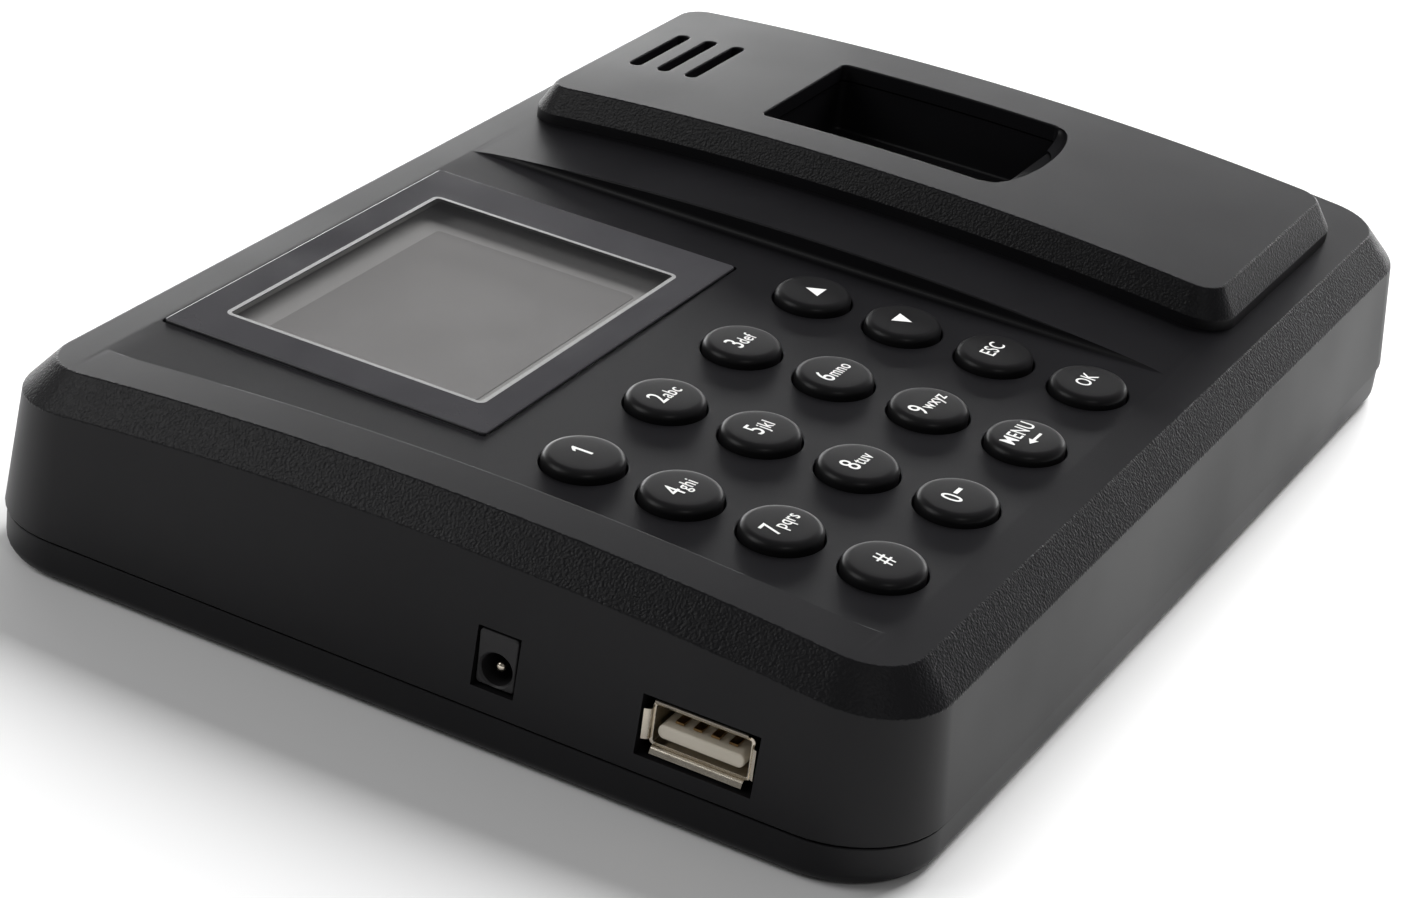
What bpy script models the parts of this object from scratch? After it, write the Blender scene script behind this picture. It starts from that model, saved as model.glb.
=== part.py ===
"""Desk or wall fingerprint attendance terminal, lying on its back cover.

Metres, +Z up. The origin is under the middle of the back cover, +X runs to the reader's
right along the long side, +Y to the top of the screen, and +Z out of the front face.
"""

import math

import bmesh
import bpy
from mathutils import Matrix, Vector

# Case, overall
BODY_WIDTH = 0.1805
BODY_DEPTH = 0.1296
FRONT_HEIGHT = 0.0290
ARCH_DROP = 0.0039
PARTING_HEIGHT = 0.0055
CORNER_RADIUS = 0.0131
SIDE_DRAFT = 0.0016
EDGE_CHAMFER_WIDTH = 0.0040
EDGE_CHAMFER_HEIGHT = 0.0041
SIDE_WALL = 0.0024
FRONT_THICKNESS = 0.0025
TOP_INSET = 0.0033
SHOULDER_DROP = 0.0060
SMALLEST_CORNER = 0.0004
CLEARANCE = 0.0003
OVERRUN = 0.0010

# Flat recess that holds the screen and the keys
POCKET_DROP = 0.0027
POCKET_LEFT_MARGIN = 0.0128
POCKET_RIGHT_MARGIN = 0.0123

# Screen window, display and its frame
SCREEN_WIDTH = 0.0657
SCREEN_DEPTH = 0.0474
SCREEN_THICKNESS = 0.0016
SCREEN_PROUD = 0.0003
SCREEN_LEFT = 0.0249
SCREEN_TOP = 0.0114
SCREEN_CORNER = 0.0006
SCREEN_EDGE = 0.0002
DISPLAY_WIDTH = 0.0600
DISPLAY_DEPTH = 0.0424
DISPLAY_THICKNESS = 0.0026
DISPLAY_SET_BACK = 0.0026
DISPLAY_FRAME_WALL = 0.0014
DISPLAY_FRAME_FLOOR = 0.0008
DISPLAY_FRAME_CORNER = 0.0010
DISPLAY_CORNER = 0.0005
DISPLAY_GAP = 0.0004
DISPLAY_SHIFT = -0.0008

# Keys
KEY_COLUMNS = 4
KEY_ROWS = 4
KEY_COLUMN_GAP = 0.00964
KEY_ROW_GAP = 0.00323
KEY_LEFT = 0.0267
KEY_MIDDLE = 0.037845
KEY_WIDTH = 0.0110
KEY_DEPTH = 0.0102
KEY_HOLE_GAP = 0.00025
KEY_RISE = 0.0015
KEY_EDGE_RADIUS = 0.0006
KEY_CROWN = 0.0002
KEY_FLANGE = 0.0008
KEY_FLANGE_THICKNESS = 0.0010
KEY_TRAVEL = 0.0010
KEY_NAMES = (
    ("key_hash", "key_0", "key_menu", "key_ok"),
    ("key_7", "key_8", "key_9", "key_esc"),
    ("key_4", "key_5", "key_6", "key_down"),
    ("key_1", "key_2", "key_3", "key_up"),
)

# Raised fingerprint module on the front
PLATEAU_RIGHT_MARGIN = 0.0151
PLATEAU_END_MARGIN = 0.0098
PLATEAU_RISE = 0.0052
PLATEAU_WALL = 0.0016
PLATEAU_CHAMFER = 0.0023
PLATEAU_CORNER_RADIUS = 0.0058
PLATEAU_THICKNESS = 0.0024
PLATEAU_SEAM = 0.0002
PLATEAU_HOLLOW_DROP = 0.0030
PLATEAU_HOLLOW_WALL = 0.0004

# Finger opening, sensor and its housing
FINGER_WIDTH = 0.0275
FINGER_DEPTH = 0.0357
FINGER_LEFT = 0.0101
FINGER_RIGHT = 0.0116
FINGER_CENTRE_Y = 0.0036
FINGER_CORNER_RADIUS = 0.0010
SCOOP_SEAM = 0.0002
SCOOP_REACH = 0.0042
SCOOP_DEPTH = 0.0034
HOUSING_WALL = 0.0024
HOUSING_CORNER = 0.0020
HOUSING_EAR = 0.0062
HOUSING_EAR_THICKNESS = 0.0018
HOUSING_EAR_WIDTH = 0.0090
HOUSING_EAR_DROP = 0.0060
WELL_DEPTH = 0.0085
WELL_FLOOR = 0.0022
PRISM_WIDTH = 0.0170
PRISM_DEPTH = 0.0210
PRISM_PROUD = 0.0009
PRISM_HEIGHT = 0.0085
PRISM_TAPER = 0.0035
PRISM_BAND = 0.0020
PRISM_CORNER = 0.0006
SENSOR_WINDOW_CORNER = 0.0008

# Speaker and its slots
SLOT_COUNT = 3
SLOT_LENGTH = 0.0166
SLOT_WIDTH = 0.0019
SLOT_PITCH = 0.00465
SLOT_CENTRE_RIGHT = 0.0234
SLOT_CENTRE_TOP = 0.0227
SPEAKER_RADIUS = 0.0078
SPEAKER_HEIGHT = 0.0038
BASKET_RIM = 0.0010
BASKET_RIM_DEPTH = 0.0007
BASKET_BACK = 0.0016
CONE_DEPTH = 0.0013
CONE_THICKNESS = 0.0003
CONE_EDGE_RISE = 0.0005
CONE_CAP_RISE = 0.0007
MAGNET_HEIGHT = 0.0018
MESH_THICKNESS = 0.0004
MESH_SIDE_MARGIN = 0.0012
MESH_END_MARGIN = 0.0022

# Sockets in the left side wall
USB_BOTTOM = 0.0264
USB_STANDOFF = 0.00035
USB_OPENING_WIDTH = 0.0131
USB_OPENING_HEIGHT = 0.0057
USB_SHEET = 0.0004
USB_LENGTH = 0.0140
USB_FLARE = 0.0009
USB_FLARE_FLAT = 0.0005
USB_FLARE_LENGTH = 0.0022
USB_COLLAR_LENGTH = 0.0030
USB_TUBE_START = 0.0012
USB_CUTOUT_MARGIN = 0.0010
TONGUE_WIDTH = 0.0111
TONGUE_THICKNESS = 0.0018
TONGUE_SET_BACK = 0.0008
TONGUE_LIFT = 0.0009
TONGUE_TAIL = 0.0006
CONTACT_COUNT = 4
CONTACT_PITCH = 0.0023
CONTACT_WIDTH = 0.0010
CONTACT_THICKNESS = 0.00025
CONTACT_LIFT = 0.0001
CONTACT_SET_BACK = 0.0012
CONTACT_ROOT = 0.0012
CONTACT_ROOT_OVERLAP = 0.0004
CONTACT_COMB_WIDTH = 0.0090
JACK_BOTTOM = 0.0530
JACK_WIDTH = 0.0052
JACK_HEIGHT = 0.0072
JACK_LENGTH = 0.0110
JACK_HOLE_RADIUS = 0.0021
JACK_HOLE_DEPTH = 0.0085
JACK_HOLE_HEIGHT = 0.0024
JACK_PIN_RADIUS = 0.00065
JACK_PIN_SET_BACK = 0.0008
JACK_PIN_TIP = 0.0005
SOCKET_CUT_REACH = 0.0020
SOCKET_INSET = 0.0008

# Boards, chips and cables
BOARD_THICKNESS = 0.0016
MAIN_BOARD_TOP = 0.0086
MAIN_BOARD_WIDTH = 0.0740
MAIN_BOARD_SIDE_GAP = 0.0022
MAIN_BOARD_BOTTOM_MARGIN = 0.0160
MAIN_BOARD_TOP_MARGIN = 0.0336
BOARD_SCREW_INSET = 0.0055
BOARD_SCREW_LOW_INSET = 0.0035
MAT_THICKNESS = 0.0010
MAT_BUMP_RADIUS = 0.0032
MAT_BUMP_HEIGHT = 0.0007
MAT_SIDE_MARGIN = 0.0075
MAT_LOW_MARGIN = 0.0073
MAT_HIGH_MARGIN = 0.0067
KEY_BOARD_SIDE_MARGIN = 0.0105
CHIP_SIDE = 0.0140
CHIP_HEIGHT = 0.0014
CELL_RADIUS = 0.00625
CELL_HEIGHT = 0.0020
CELL_X = 0.0200
CELL_TOP = 0.0150
HOLDER_WALL = 0.0010
HOLDER_FLOOR = 0.0006
HOLDER_HEIGHT = 0.0028
CABLE_THICKNESS = 0.0004
CABLE_SOCKET_HEIGHT = 0.0016
SENSOR_CABLE_WIDTH = 0.0060
SENSOR_CABLE_INSET = 0.00545
SENSOR_CABLE_REACH = 0.0020
SENSOR_SOCKET_RIGHT = 0.0030
SENSOR_SOCKET_WIDTH = 0.0045
SENSOR_SOCKET_DEPTH = 0.0100
DISPLAY_CABLE_WIDTH = 0.0120
DISPLAY_CABLE_UP = 0.0100
DISPLAY_CABLE_TAIL = 0.0060
DISPLAY_CABLE_REACH = 0.0040
DISPLAY_SOCKET_SHARE = 0.55
DISPLAY_SOCKET_WIDTH = 0.0040
DISPLAY_SOCKET_DEPTH = 0.0160
CABLE_STEPS = 12
CABLE_LOOP_STEPS = 10

# Fasteners
CASE_SCREW_INSET_X = 0.0118
CASE_SCREW_INSET_Y = 0.0123
SCREW_RADIUS = 0.0014
SCREW_HEAD_RADIUS = 0.0028
SCREW_HEAD_HEIGHT = 0.0017
SCREW_LENGTH = 0.0110
SMALL_SCREW_RADIUS = 0.0010
SMALL_HEAD_RADIUS = 0.0019
SMALL_HEAD_HEIGHT = 0.0013
SMALL_SCREW_LENGTH = 0.0050
SENSOR_SCREW_LENGTH = 0.0052
SLOT_IN_HEAD = 0.0006
RECESS_SHARE = 0.55
RECESS_DEPTH_SHARE = 0.45
HEAD_RIM_SHARE = 0.35
BOSS_WALL = 0.0018
SMALL_BOSS_WALL = 0.0012
BOSS_ROOT = 0.0006
PILOT_REST = 0.0040
KEY_PILOT_REST = 0.0004
SENSOR_PILOT_DEPTH = 0.0045
COVER_FLOOR = 0.0022
COVER_INSET = 0.0003
COVER_EDGE_RADIUS = 0.0018
COVER_LIP_HEIGHT = 0.0018
COVER_LIP_WALL = 0.0012
COVER_LIP_INSET = 0.0029
COVER_LIP_SEAM = 0.0002
COVER_SKIN = 0.0004

ARC_STEPS = 6
ARCH_STEPS = 12
ROUND_STEPS = 20
KEY_STEPS = 16
HOLE_STEPS = 10
COVER_EDGE_STEPS = 3
KEY_EDGE_STEPS = 2
SCOOP_STEPS = 16

# Places worked out from the sizes above
LEFT = -BODY_WIDTH / 2
RIGHT = BODY_WIDTH / 2
BOTTOM = -BODY_DEPTH / 2
TOP = BODY_DEPTH / 2
POCKET_Z = FRONT_HEIGHT - POCKET_DROP
CEILING_Z = POCKET_Z - FRONT_THICKNESS
ARCH_RADIUS = ((BODY_DEPTH / 2) ** 2 + ARCH_DROP**2) / (2 * ARCH_DROP)
KEY_PITCH_X = KEY_WIDTH + KEY_COLUMN_GAP
KEY_PITCH_Y = KEY_DEPTH + KEY_ROW_GAP
KEY_X0 = LEFT + KEY_LEFT
KEY_Y0 = BOTTOM + KEY_MIDDLE - (KEY_ROWS - 1) / 2 * KEY_PITCH_Y
KEY_X1 = KEY_X0 + (KEY_COLUMNS - 1) * KEY_PITCH_X
KEY_Y1 = KEY_Y0 + (KEY_ROWS - 1) * KEY_PITCH_Y
POCKET_X0 = LEFT + POCKET_LEFT_MARGIN
POCKET_X1 = KEY_X1 + POCKET_RIGHT_MARGIN
SCREEN_X = LEFT + SCREEN_LEFT + SCREEN_WIDTH / 2
SCREEN_Y = TOP - SCREEN_TOP - SCREEN_DEPTH / 2
SCREEN_Z = POCKET_Z + SCREEN_PROUD
DISPLAY_X = SCREEN_X + DISPLAY_SHIFT
DISPLAY_TOP = SCREEN_Z - DISPLAY_SET_BACK
FLANGE_TOP = CEILING_Z - CLEARANCE
MAT_TOP = FLANGE_TOP - KEY_FLANGE_THICKNESS - KEY_TRAVEL - MAT_BUMP_HEIGHT - CLEARANCE
KEY_BOARD_TOP = MAT_TOP - MAT_THICKNESS - CLEARANCE
PLATEAU_X1 = RIGHT - PLATEAU_RIGHT_MARGIN
PLATEAU_WIDTH = FINGER_LEFT + FINGER_WIDTH + FINGER_RIGHT
PLATEAU_X0 = PLATEAU_X1 - PLATEAU_WIDTH
PLATEAU_Y1 = TOP - PLATEAU_END_MARGIN
PLATEAU_UNDERSIDE = PLATEAU_RISE - PLATEAU_THICKNESS
FINGER_X = PLATEAU_X1 - FINGER_RIGHT - FINGER_WIDTH / 2
SLOT_X = PLATEAU_X1 - SLOT_CENTRE_RIGHT
SLOT_Y = TOP - SLOT_CENTRE_TOP
SOCKET_FACE_X = LEFT + SOCKET_INSET
MAIN_BOARD_X0 = LEFT + SIDE_WALL + SIDE_DRAFT + MAIN_BOARD_SIDE_GAP
MAIN_BOARD_Y0 = BOTTOM + MAIN_BOARD_BOTTOM_MARGIN
MAIN_BOARD_DEPTH = BODY_DEPTH - MAIN_BOARD_BOTTOM_MARGIN - MAIN_BOARD_TOP_MARGIN
USB_Y = BOTTOM + USB_BOTTOM
USB_Z = MAIN_BOARD_TOP + USB_STANDOFF + USB_OPENING_HEIGHT / 2
JACK_Y = BOTTOM + JACK_BOTTOM
JACK_Z = MAIN_BOARD_TOP + CLEARANCE + JACK_HEIGHT / 2


def arch(y):
    """Height of the arched front face at this distance from the middle."""
    return FRONT_HEIGHT - ARCH_RADIUS + math.sqrt(ARCH_RADIUS**2 - y**2)


def clear_scene():
    for old in list(bpy.data.objects):
        bpy.data.objects.remove(old, do_unlink=True)


def make_material(name, colour, roughness, metallic=0.0, transmission=0.0):
    material = bpy.data.materials.new(name)
    material.use_nodes = True
    shader = material.node_tree.nodes["Principled BSDF"]
    shader.inputs["Base Color"].default_value = (*colour, 1.0)
    shader.inputs["Roughness"].default_value = roughness
    shader.inputs["Metallic"].default_value = metallic
    shader.inputs["Transmission Weight"].default_value = transmission
    return material


MATERIAL_LOOKS = {
    "case_black": ((0.028, 0.027, 0.030), 0.48),
    "key_black": ((0.022, 0.022, 0.024), 0.38),
    "window": ((0.05, 0.05, 0.055), 0.08, 0.0, 0.6),
    "display": ((0.30, 0.31, 0.32), 0.25),
    "steel": ((0.62, 0.61, 0.59), 0.30, 1.0),
    "nickel": ((0.75, 0.72, 0.66), 0.25, 1.0),
    "cream_plastic": ((0.72, 0.68, 0.58), 0.45),
    "gold": ((0.83, 0.61, 0.28), 0.30, 1.0),
    "silicone": ((0.35, 0.36, 0.37), 0.75),
    "board_green": ((0.02, 0.12, 0.06), 0.50),
    "chip_black": ((0.02, 0.02, 0.02), 0.55),
    "sensor_glass": ((0.10, 0.10, 0.12), 0.05, 0.0, 0.8),
    "cable_amber": ((0.45, 0.20, 0.04), 0.45),
    "cone_black": ((0.03, 0.03, 0.03), 0.85),
}


def make_object(name, bm, material, smooth=30.0):
    """Turn a bmesh into a named object, with soft shading below the given angle."""
    bmesh.ops.recalc_face_normals(bm, faces=bm.faces)
    if bm.calc_volume(signed=True) < 0.0:
        bmesh.ops.reverse_faces(bm, faces=bm.faces)
    mesh = bpy.data.meshes.new(name)
    bm.to_mesh(mesh)
    bm.free()
    mesh.shade_smooth()
    mesh.set_sharp_from_angle(angle=math.radians(smooth))
    obj = bpy.data.objects.new(name, mesh)
    obj.data.materials.append(bpy.data.materials[material])
    bpy.context.scene.collection.objects.link(obj)
    return obj


def helper(name, bm):
    """A shape that only cuts or adds to another object."""
    obj = make_object(name, bm, "case_black")
    obj.hide_render = True
    obj.display_type = "WIRE"
    return obj


def combine(target, other, operation):
    modifier = target.modifiers.new(operation.lower() + "_" + other.name, "BOOLEAN")
    modifier.operation = operation
    modifier.object = other
    modifier.solver = "EXACT"


def cut(target, cutter):
    combine(target, cutter, "DIFFERENCE")


def add(target, extra):
    combine(target, extra, "UNION")


def side_points(x_half, y_half, radius):
    """Right half of a rounded rectangle, from its low end to its high end."""
    points = []
    for corner, start in ((-1, -90.0), (1, 0.0)):
        for step in range(ARC_STEPS + 1):
            angle = math.radians(start + 90.0 * step / ARC_STEPS)
            x = x_half - radius + radius * math.cos(angle)
            y = corner * (y_half - radius) + radius * math.sin(angle)
            points.append((x, y))
    return points


def with_middle(points, count):
    """Split the straight run between the two corners, so that it can follow the arch."""
    half = len(points) // 2
    (x0, y0), (x1, y1) = points[half - 1], points[half]
    middle = [
        (x0 + (x1 - x0) * i / count, y0 + (y1 - y0) * i / count) for i in range(1, count)
    ]
    return points[:half] + middle + points[half:]


def add_ring(bm, centre, half_size, radius, height, straight_steps=1):
    """Rounded rectangle ring as two mirrored rows of vertices, right and left."""
    rows = with_middle(side_points(*half_size, radius), straight_steps)
    right, left = [], []
    for x, y in rows:
        z = height(centre[1] + y) if callable(height) else height
        right.append(bm.verts.new((centre[0] + x, centre[1] + y, z)))
        left.append(bm.verts.new((centre[0] - x, centre[1] + y, z)))
    return right, left


def cap(bm, ring):
    right, left = ring
    for i in range(len(right) - 1):
        bm.faces.new((right[i], right[i + 1], left[i + 1], left[i]))


def bridge(bm, low, high):
    low_loop = low[0] + low[1][::-1]
    high_loop = high[0] + high[1][::-1]
    count = len(low_loop)
    for i in range(count):
        j = (i + 1) % count
        bm.faces.new((low_loop[i], low_loop[j], high_loop[j], high_loop[i]))


def stacked_block(centre, size, radius, levels, straight_steps=1):
    """Solid through rounded rectangles. Each level is (inset, height), bottom first."""
    bm = bmesh.new()
    rings = []
    for inset, height in levels:
        half_size = (size[0] / 2 - inset, size[1] / 2 - inset)
        corner = max(radius - inset, SMALLEST_CORNER)
        rings.append(add_ring(bm, centre, half_size, corner, height, straight_steps))
    cap(bm, rings[0])
    for low, high in zip(rings, rings[1:]):
        bridge(bm, low, high)
    cap(bm, rings[-1])
    return bm


def box_into(bm, low, high):
    size = Vector(high) - Vector(low)
    middle = (Vector(high) + Vector(low)) / 2
    matrix = Matrix.Translation(middle) @ Matrix.Diagonal((*size, 1.0))
    bmesh.ops.create_cube(bm, size=1.0, matrix=matrix)


def box_mesh(low, high):
    bm = bmesh.new()
    box_into(bm, low, high)
    return bm


def cylinder_into(bm, x, y, z0, z1, radius, steps=ROUND_STEPS):
    matrix = Matrix.Translation((x, y, (z0 + z1) / 2))
    bmesh.ops.create_cone(
        bm, cap_ends=True, segments=steps, radius1=radius, radius2=radius,
        depth=z1 - z0, matrix=matrix,
    )


def cylinder_mesh(x, y, z0, z1, radius, steps=ROUND_STEPS):
    bm = bmesh.new()
    cylinder_into(bm, x, y, z0, z1, radius, steps)
    return bm


def turned_mesh(profile, scale_x=1.0, scale_y=1.0, steps=ROUND_STEPS):
    """Solid of revolution about Z. The profile is (radius, height), axis to axis."""
    bm = bmesh.new()
    rings = []
    for radius, z in profile:
        if radius == 0.0:
            rings.append([bm.verts.new((0.0, 0.0, z))])
            continue
        ring = []
        for step in range(steps):
            angle = 2 * math.pi * step / steps
            x = scale_x * radius * math.cos(angle)
            y = scale_y * radius * math.sin(angle)
            ring.append(bm.verts.new((x, y, z)))
        rings.append(ring)
    for low, high in zip(rings, rings[1:]):
        for i in range(steps):
            j = (i + 1) % steps
            corners = (low[i % len(low)], low[j % len(low)], high[j % len(high)], high[i % len(high)])
            bm.faces.new(list(dict.fromkeys(corners)))
    return bm


def case_screw_places():
    x = BODY_WIDTH / 2 - CASE_SCREW_INSET_X
    y = BODY_DEPTH / 2 - CASE_SCREW_INSET_Y
    return [(-x, -y), (x, -y), (-x, y), (x, y)]


def key_places():
    for row in range(KEY_ROWS):
        for column in range(KEY_COLUMNS):
            place = (KEY_X0 + column * KEY_PITCH_X, KEY_Y0 + row * KEY_PITCH_Y)
            yield KEY_NAMES[row][column], place


def key_screw_places():
    x0 = KEY_X0 - KEY_WIDTH / 2 - KEY_FLANGE - BOSS_WALL - SMALL_SCREW_RADIUS
    x1 = KEY_X1 + KEY_WIDTH / 2 + KEY_FLANGE + BOSS_WALL + SMALL_SCREW_RADIUS
    y0 = KEY_Y0 + KEY_PITCH_Y / 2
    y1 = KEY_Y1 - KEY_PITCH_Y / 2
    return [(x0, y0), (x1, y0), (x0, y1), (x1, y1)]


def main_board_screw_places():
    x0 = MAIN_BOARD_X0 + BOARD_SCREW_INSET
    x1 = MAIN_BOARD_X0 + MAIN_BOARD_WIDTH - BOARD_SCREW_INSET
    y0 = MAIN_BOARD_Y0 + BOARD_SCREW_LOW_INSET
    y1 = MAIN_BOARD_Y0 + MAIN_BOARD_DEPTH - BOARD_SCREW_INSET
    return [(x1, y0), (x0, y1), (x1, y1)]


def sensor_screw_places():
    reach = FINGER_DEPTH / 2 + HOUSING_WALL + HOUSING_EAR / 2
    return [(FINGER_X, FINGER_CENTRE_Y - reach), (FINGER_X, FINGER_CENTRE_Y + reach)]


def housing_top(y):
    return arch(y) + PLATEAU_UNDERSIDE - CLEARANCE


def ear_top():
    return arch(PLATEAU_Y1) + PLATEAU_UNDERSIDE - HOUSING_EAR_DROP


def outer_body():
    levels = [
        (0.0, PARTING_HEIGHT + CLEARANCE / 2),
        (SIDE_DRAFT, lambda y: arch(y) - EDGE_CHAMFER_HEIGHT),
        (SIDE_DRAFT + EDGE_CHAMFER_WIDTH, arch),
    ]
    size = (BODY_WIDTH, BODY_DEPTH)
    return stacked_block((0.0, 0.0), size, CORNER_RADIUS, levels, straight_steps=ARCH_STEPS)


def outer_plateau():
    levels = [
        (0.0, CEILING_Z),
        (0.0, lambda y: arch(y) + PLATEAU_WALL),
        (PLATEAU_CHAMFER, lambda y: arch(y) + PLATEAU_RISE),
    ]
    centre = ((PLATEAU_X0 + PLATEAU_X1) / 2, 0.0)
    size = (PLATEAU_WIDTH, 2 * PLATEAU_Y1)
    return stacked_block(centre, size, PLATEAU_CORNER_RADIUS, levels, straight_steps=ARCH_STEPS)


def body_cavity():
    levels = [
        (SIDE_WALL, PARTING_HEIGHT - OVERRUN),
        (SIDE_WALL + SIDE_DRAFT, CEILING_Z - SHOULDER_DROP),
        (SIDE_WALL + SIDE_DRAFT + TOP_INSET, CEILING_Z),
    ]
    return stacked_block((0.0, 0.0), (BODY_WIDTH, BODY_DEPTH), CORNER_RADIUS, levels)


def plateau_cavity():
    inset = PLATEAU_THICKNESS + PLATEAU_SEAM
    levels = [
        (inset, CEILING_Z - PLATEAU_HOLLOW_DROP),
        (inset, lambda y: arch(y) + PLATEAU_HOLLOW_WALL),
        (inset + PLATEAU_CHAMFER, lambda y: arch(y) + PLATEAU_UNDERSIDE),
    ]
    centre = ((PLATEAU_X0 + PLATEAU_X1) / 2, 0.0)
    size = (PLATEAU_WIDTH, 2 * PLATEAU_Y1)
    return stacked_block(centre, size, PLATEAU_CORNER_RADIUS, levels, straight_steps=ARCH_STEPS)


def key_holes():
    low = CEILING_Z - OVERRUN
    high = POCKET_Z + OVERRUN
    profile = [(0.0, low), (1.0, low), (1.0, high), (0.0, high)]
    half_x = KEY_WIDTH / 2 + KEY_HOLE_GAP
    half_y = KEY_DEPTH / 2 + KEY_HOLE_GAP
    bm = bmesh.new()
    for _, (x, y) in key_places():
        hole = turned_mesh(profile, half_x, half_y, KEY_STEPS)
        hole.transform(Matrix.Translation((x, y, 0.0)))
        merge_into(bm, hole)
    return bm


def merge_into(bm, other):
    """Copy the faces of another bmesh into this one, and free the other."""
    mesh = bpy.data.meshes.new("joined_shape")
    other.to_mesh(mesh)
    other.free()
    bm.from_mesh(mesh)
    bpy.data.meshes.remove(mesh)


def screen_recess():
    size = (SCREEN_WIDTH + 2 * CLEARANCE, SCREEN_DEPTH + 2 * CLEARANCE)
    floor = SCREEN_Z - SCREEN_THICKNESS - CLEARANCE
    levels = [(0.0, floor), (0.0, POCKET_Z + OVERRUN)]
    return stacked_block((SCREEN_X, SCREEN_Y), size, SCREEN_CORNER, levels)


def display_opening():
    size = (DISPLAY_WIDTH + 2 * DISPLAY_GAP, DISPLAY_DEPTH + 2 * DISPLAY_GAP)
    levels = [(0.0, CEILING_Z - OVERRUN), (0.0, POCKET_Z + OVERRUN)]
    return stacked_block((DISPLAY_X, SCREEN_Y), size, SCREEN_CORNER, levels)


def finger_opening():
    """Straight-sided opening through the top of the module."""
    levels = [(0.0, CEILING_Z - OVERRUN), (0.0, FRONT_HEIGHT + PLATEAU_RISE + OVERRUN)]
    centre = (FINGER_X, FINGER_CENTRE_Y)
    return stacked_block(centre, (FINGER_WIDTH, FINGER_DEPTH), FINGER_CORNER_RADIUS, levels)


def finger_scoop():
    """Shallow hollow in front of the opening that guides a fingertip in."""
    bm = bmesh.new()
    bmesh.ops.create_uvsphere(bm, u_segments=2 * SCOOP_STEPS, v_segments=SCOOP_STEPS, radius=1.0)
    y = FINGER_CENTRE_Y - FINGER_DEPTH / 2 + SCOOP_SEAM
    z = arch(y) + PLATEAU_RISE
    scale = Matrix.Diagonal((FINGER_WIDTH / 2 - SCOOP_SEAM, SCOOP_REACH, SCOOP_DEPTH, 1.0))
    bm.transform(Matrix.Translation((FINGER_X, y, z)) @ scale)
    return bm


def speaker_slots():
    levels = [(0.0, FRONT_HEIGHT - OVERRUN), (0.0, FRONT_HEIGHT + PLATEAU_RISE)]
    bm = bmesh.new()
    for index in range(SLOT_COUNT):
        y = SLOT_Y + (index - (SLOT_COUNT - 1) / 2) * SLOT_PITCH
        slot = stacked_block((SLOT_X, y), (SLOT_LENGTH, SLOT_WIDTH), SLOT_WIDTH / 2, levels)
        merge_into(bm, slot)
    return bm


def socket_openings():
    bm = bmesh.new()
    usb_y = USB_OPENING_WIDTH / 2 + USB_CUTOUT_MARGIN
    usb_z = USB_OPENING_HEIGHT / 2 + USB_CUTOUT_MARGIN
    jack_y = JACK_WIDTH / 2 + CLEARANCE
    jack_z = JACK_HEIGHT / 2 + CLEARANCE
    x0 = LEFT - OVERRUN
    x1 = LEFT + SIDE_WALL + SIDE_DRAFT + SOCKET_CUT_REACH
    box_into(bm, (x0, USB_Y - usb_y, USB_Z - usb_z), (x1, USB_Y + usb_y, USB_Z + usb_z))
    box_into(bm, (x0, JACK_Y - jack_y, JACK_Z - jack_z), (x1, JACK_Y + jack_y, JACK_Z + jack_z))
    return bm


def front_posts():
    """Posts that take the case screws, the key board screws and the sensor screws."""
    bm = bmesh.new()
    radius = SCREW_RADIUS + CLEARANCE + BOSS_WALL
    small_radius = SMALL_SCREW_RADIUS + CLEARANCE + SMALL_BOSS_WALL
    top = CEILING_Z + BOSS_ROOT
    for x, y in case_screw_places():
        cylinder_into(bm, x, y, PARTING_HEIGHT + CLEARANCE, top, radius)
    for x, y in key_screw_places():
        cylinder_into(bm, x, y, KEY_BOARD_TOP + CLEARANCE, top, small_radius, HOLE_STEPS)
    for x, y in sensor_screw_places():
        top = arch(y) + PLATEAU_UNDERSIDE + BOSS_ROOT
        cylinder_into(bm, x, y, ear_top() + CLEARANCE, top, small_radius, HOLE_STEPS)
    return bm


def front_pilot_holes():
    bm = bmesh.new()
    radius = SCREW_RADIUS + CLEARANCE
    small_radius = SMALL_SCREW_RADIUS + CLEARANCE
    for x, y in case_screw_places():
        cylinder_into(bm, x, y, PARTING_HEIGHT - OVERRUN, CEILING_Z - PILOT_REST, radius, HOLE_STEPS)
    for x, y in key_screw_places():
        top = CEILING_Z - KEY_PILOT_REST
        cylinder_into(bm, x, y, KEY_BOARD_TOP, top, small_radius, HOLE_STEPS)
    for x, y in sensor_screw_places():
        top = ear_top() + SENSOR_PILOT_DEPTH
        cylinder_into(bm, x, y, ear_top(), top, small_radius, HOLE_STEPS)
    return bm


def pocket_cutter():
    low = (POCKET_X0, -BODY_DEPTH, POCKET_Z)
    high = (POCKET_X1, BODY_DEPTH, FRONT_HEIGHT + OVERRUN)
    return box_mesh(low, high)


def make_front_shell():
    shell = make_object("front_shell", outer_body(), "case_black")
    add(shell, helper("plateau_block", outer_plateau()))
    cut(shell, helper("pocket_cutter", pocket_cutter()))
    cut(shell, helper("body_cavity", body_cavity()))
    cut(shell, helper("plateau_cavity", plateau_cavity()))
    add(shell, helper("front_posts", front_posts()))
    cut(shell, helper("front_pilot_holes", front_pilot_holes()))
    cut(shell, helper("key_holes", key_holes()))
    cut(shell, helper("screen_recess", screen_recess()))
    cut(shell, helper("display_opening", display_opening()))
    cut(shell, helper("finger_opening", finger_opening()))
    cut(shell, helper("finger_scoop", finger_scoop()))
    cut(shell, helper("speaker_slots", speaker_slots()))
    cut(shell, helper("socket_openings", socket_openings()))


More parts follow.
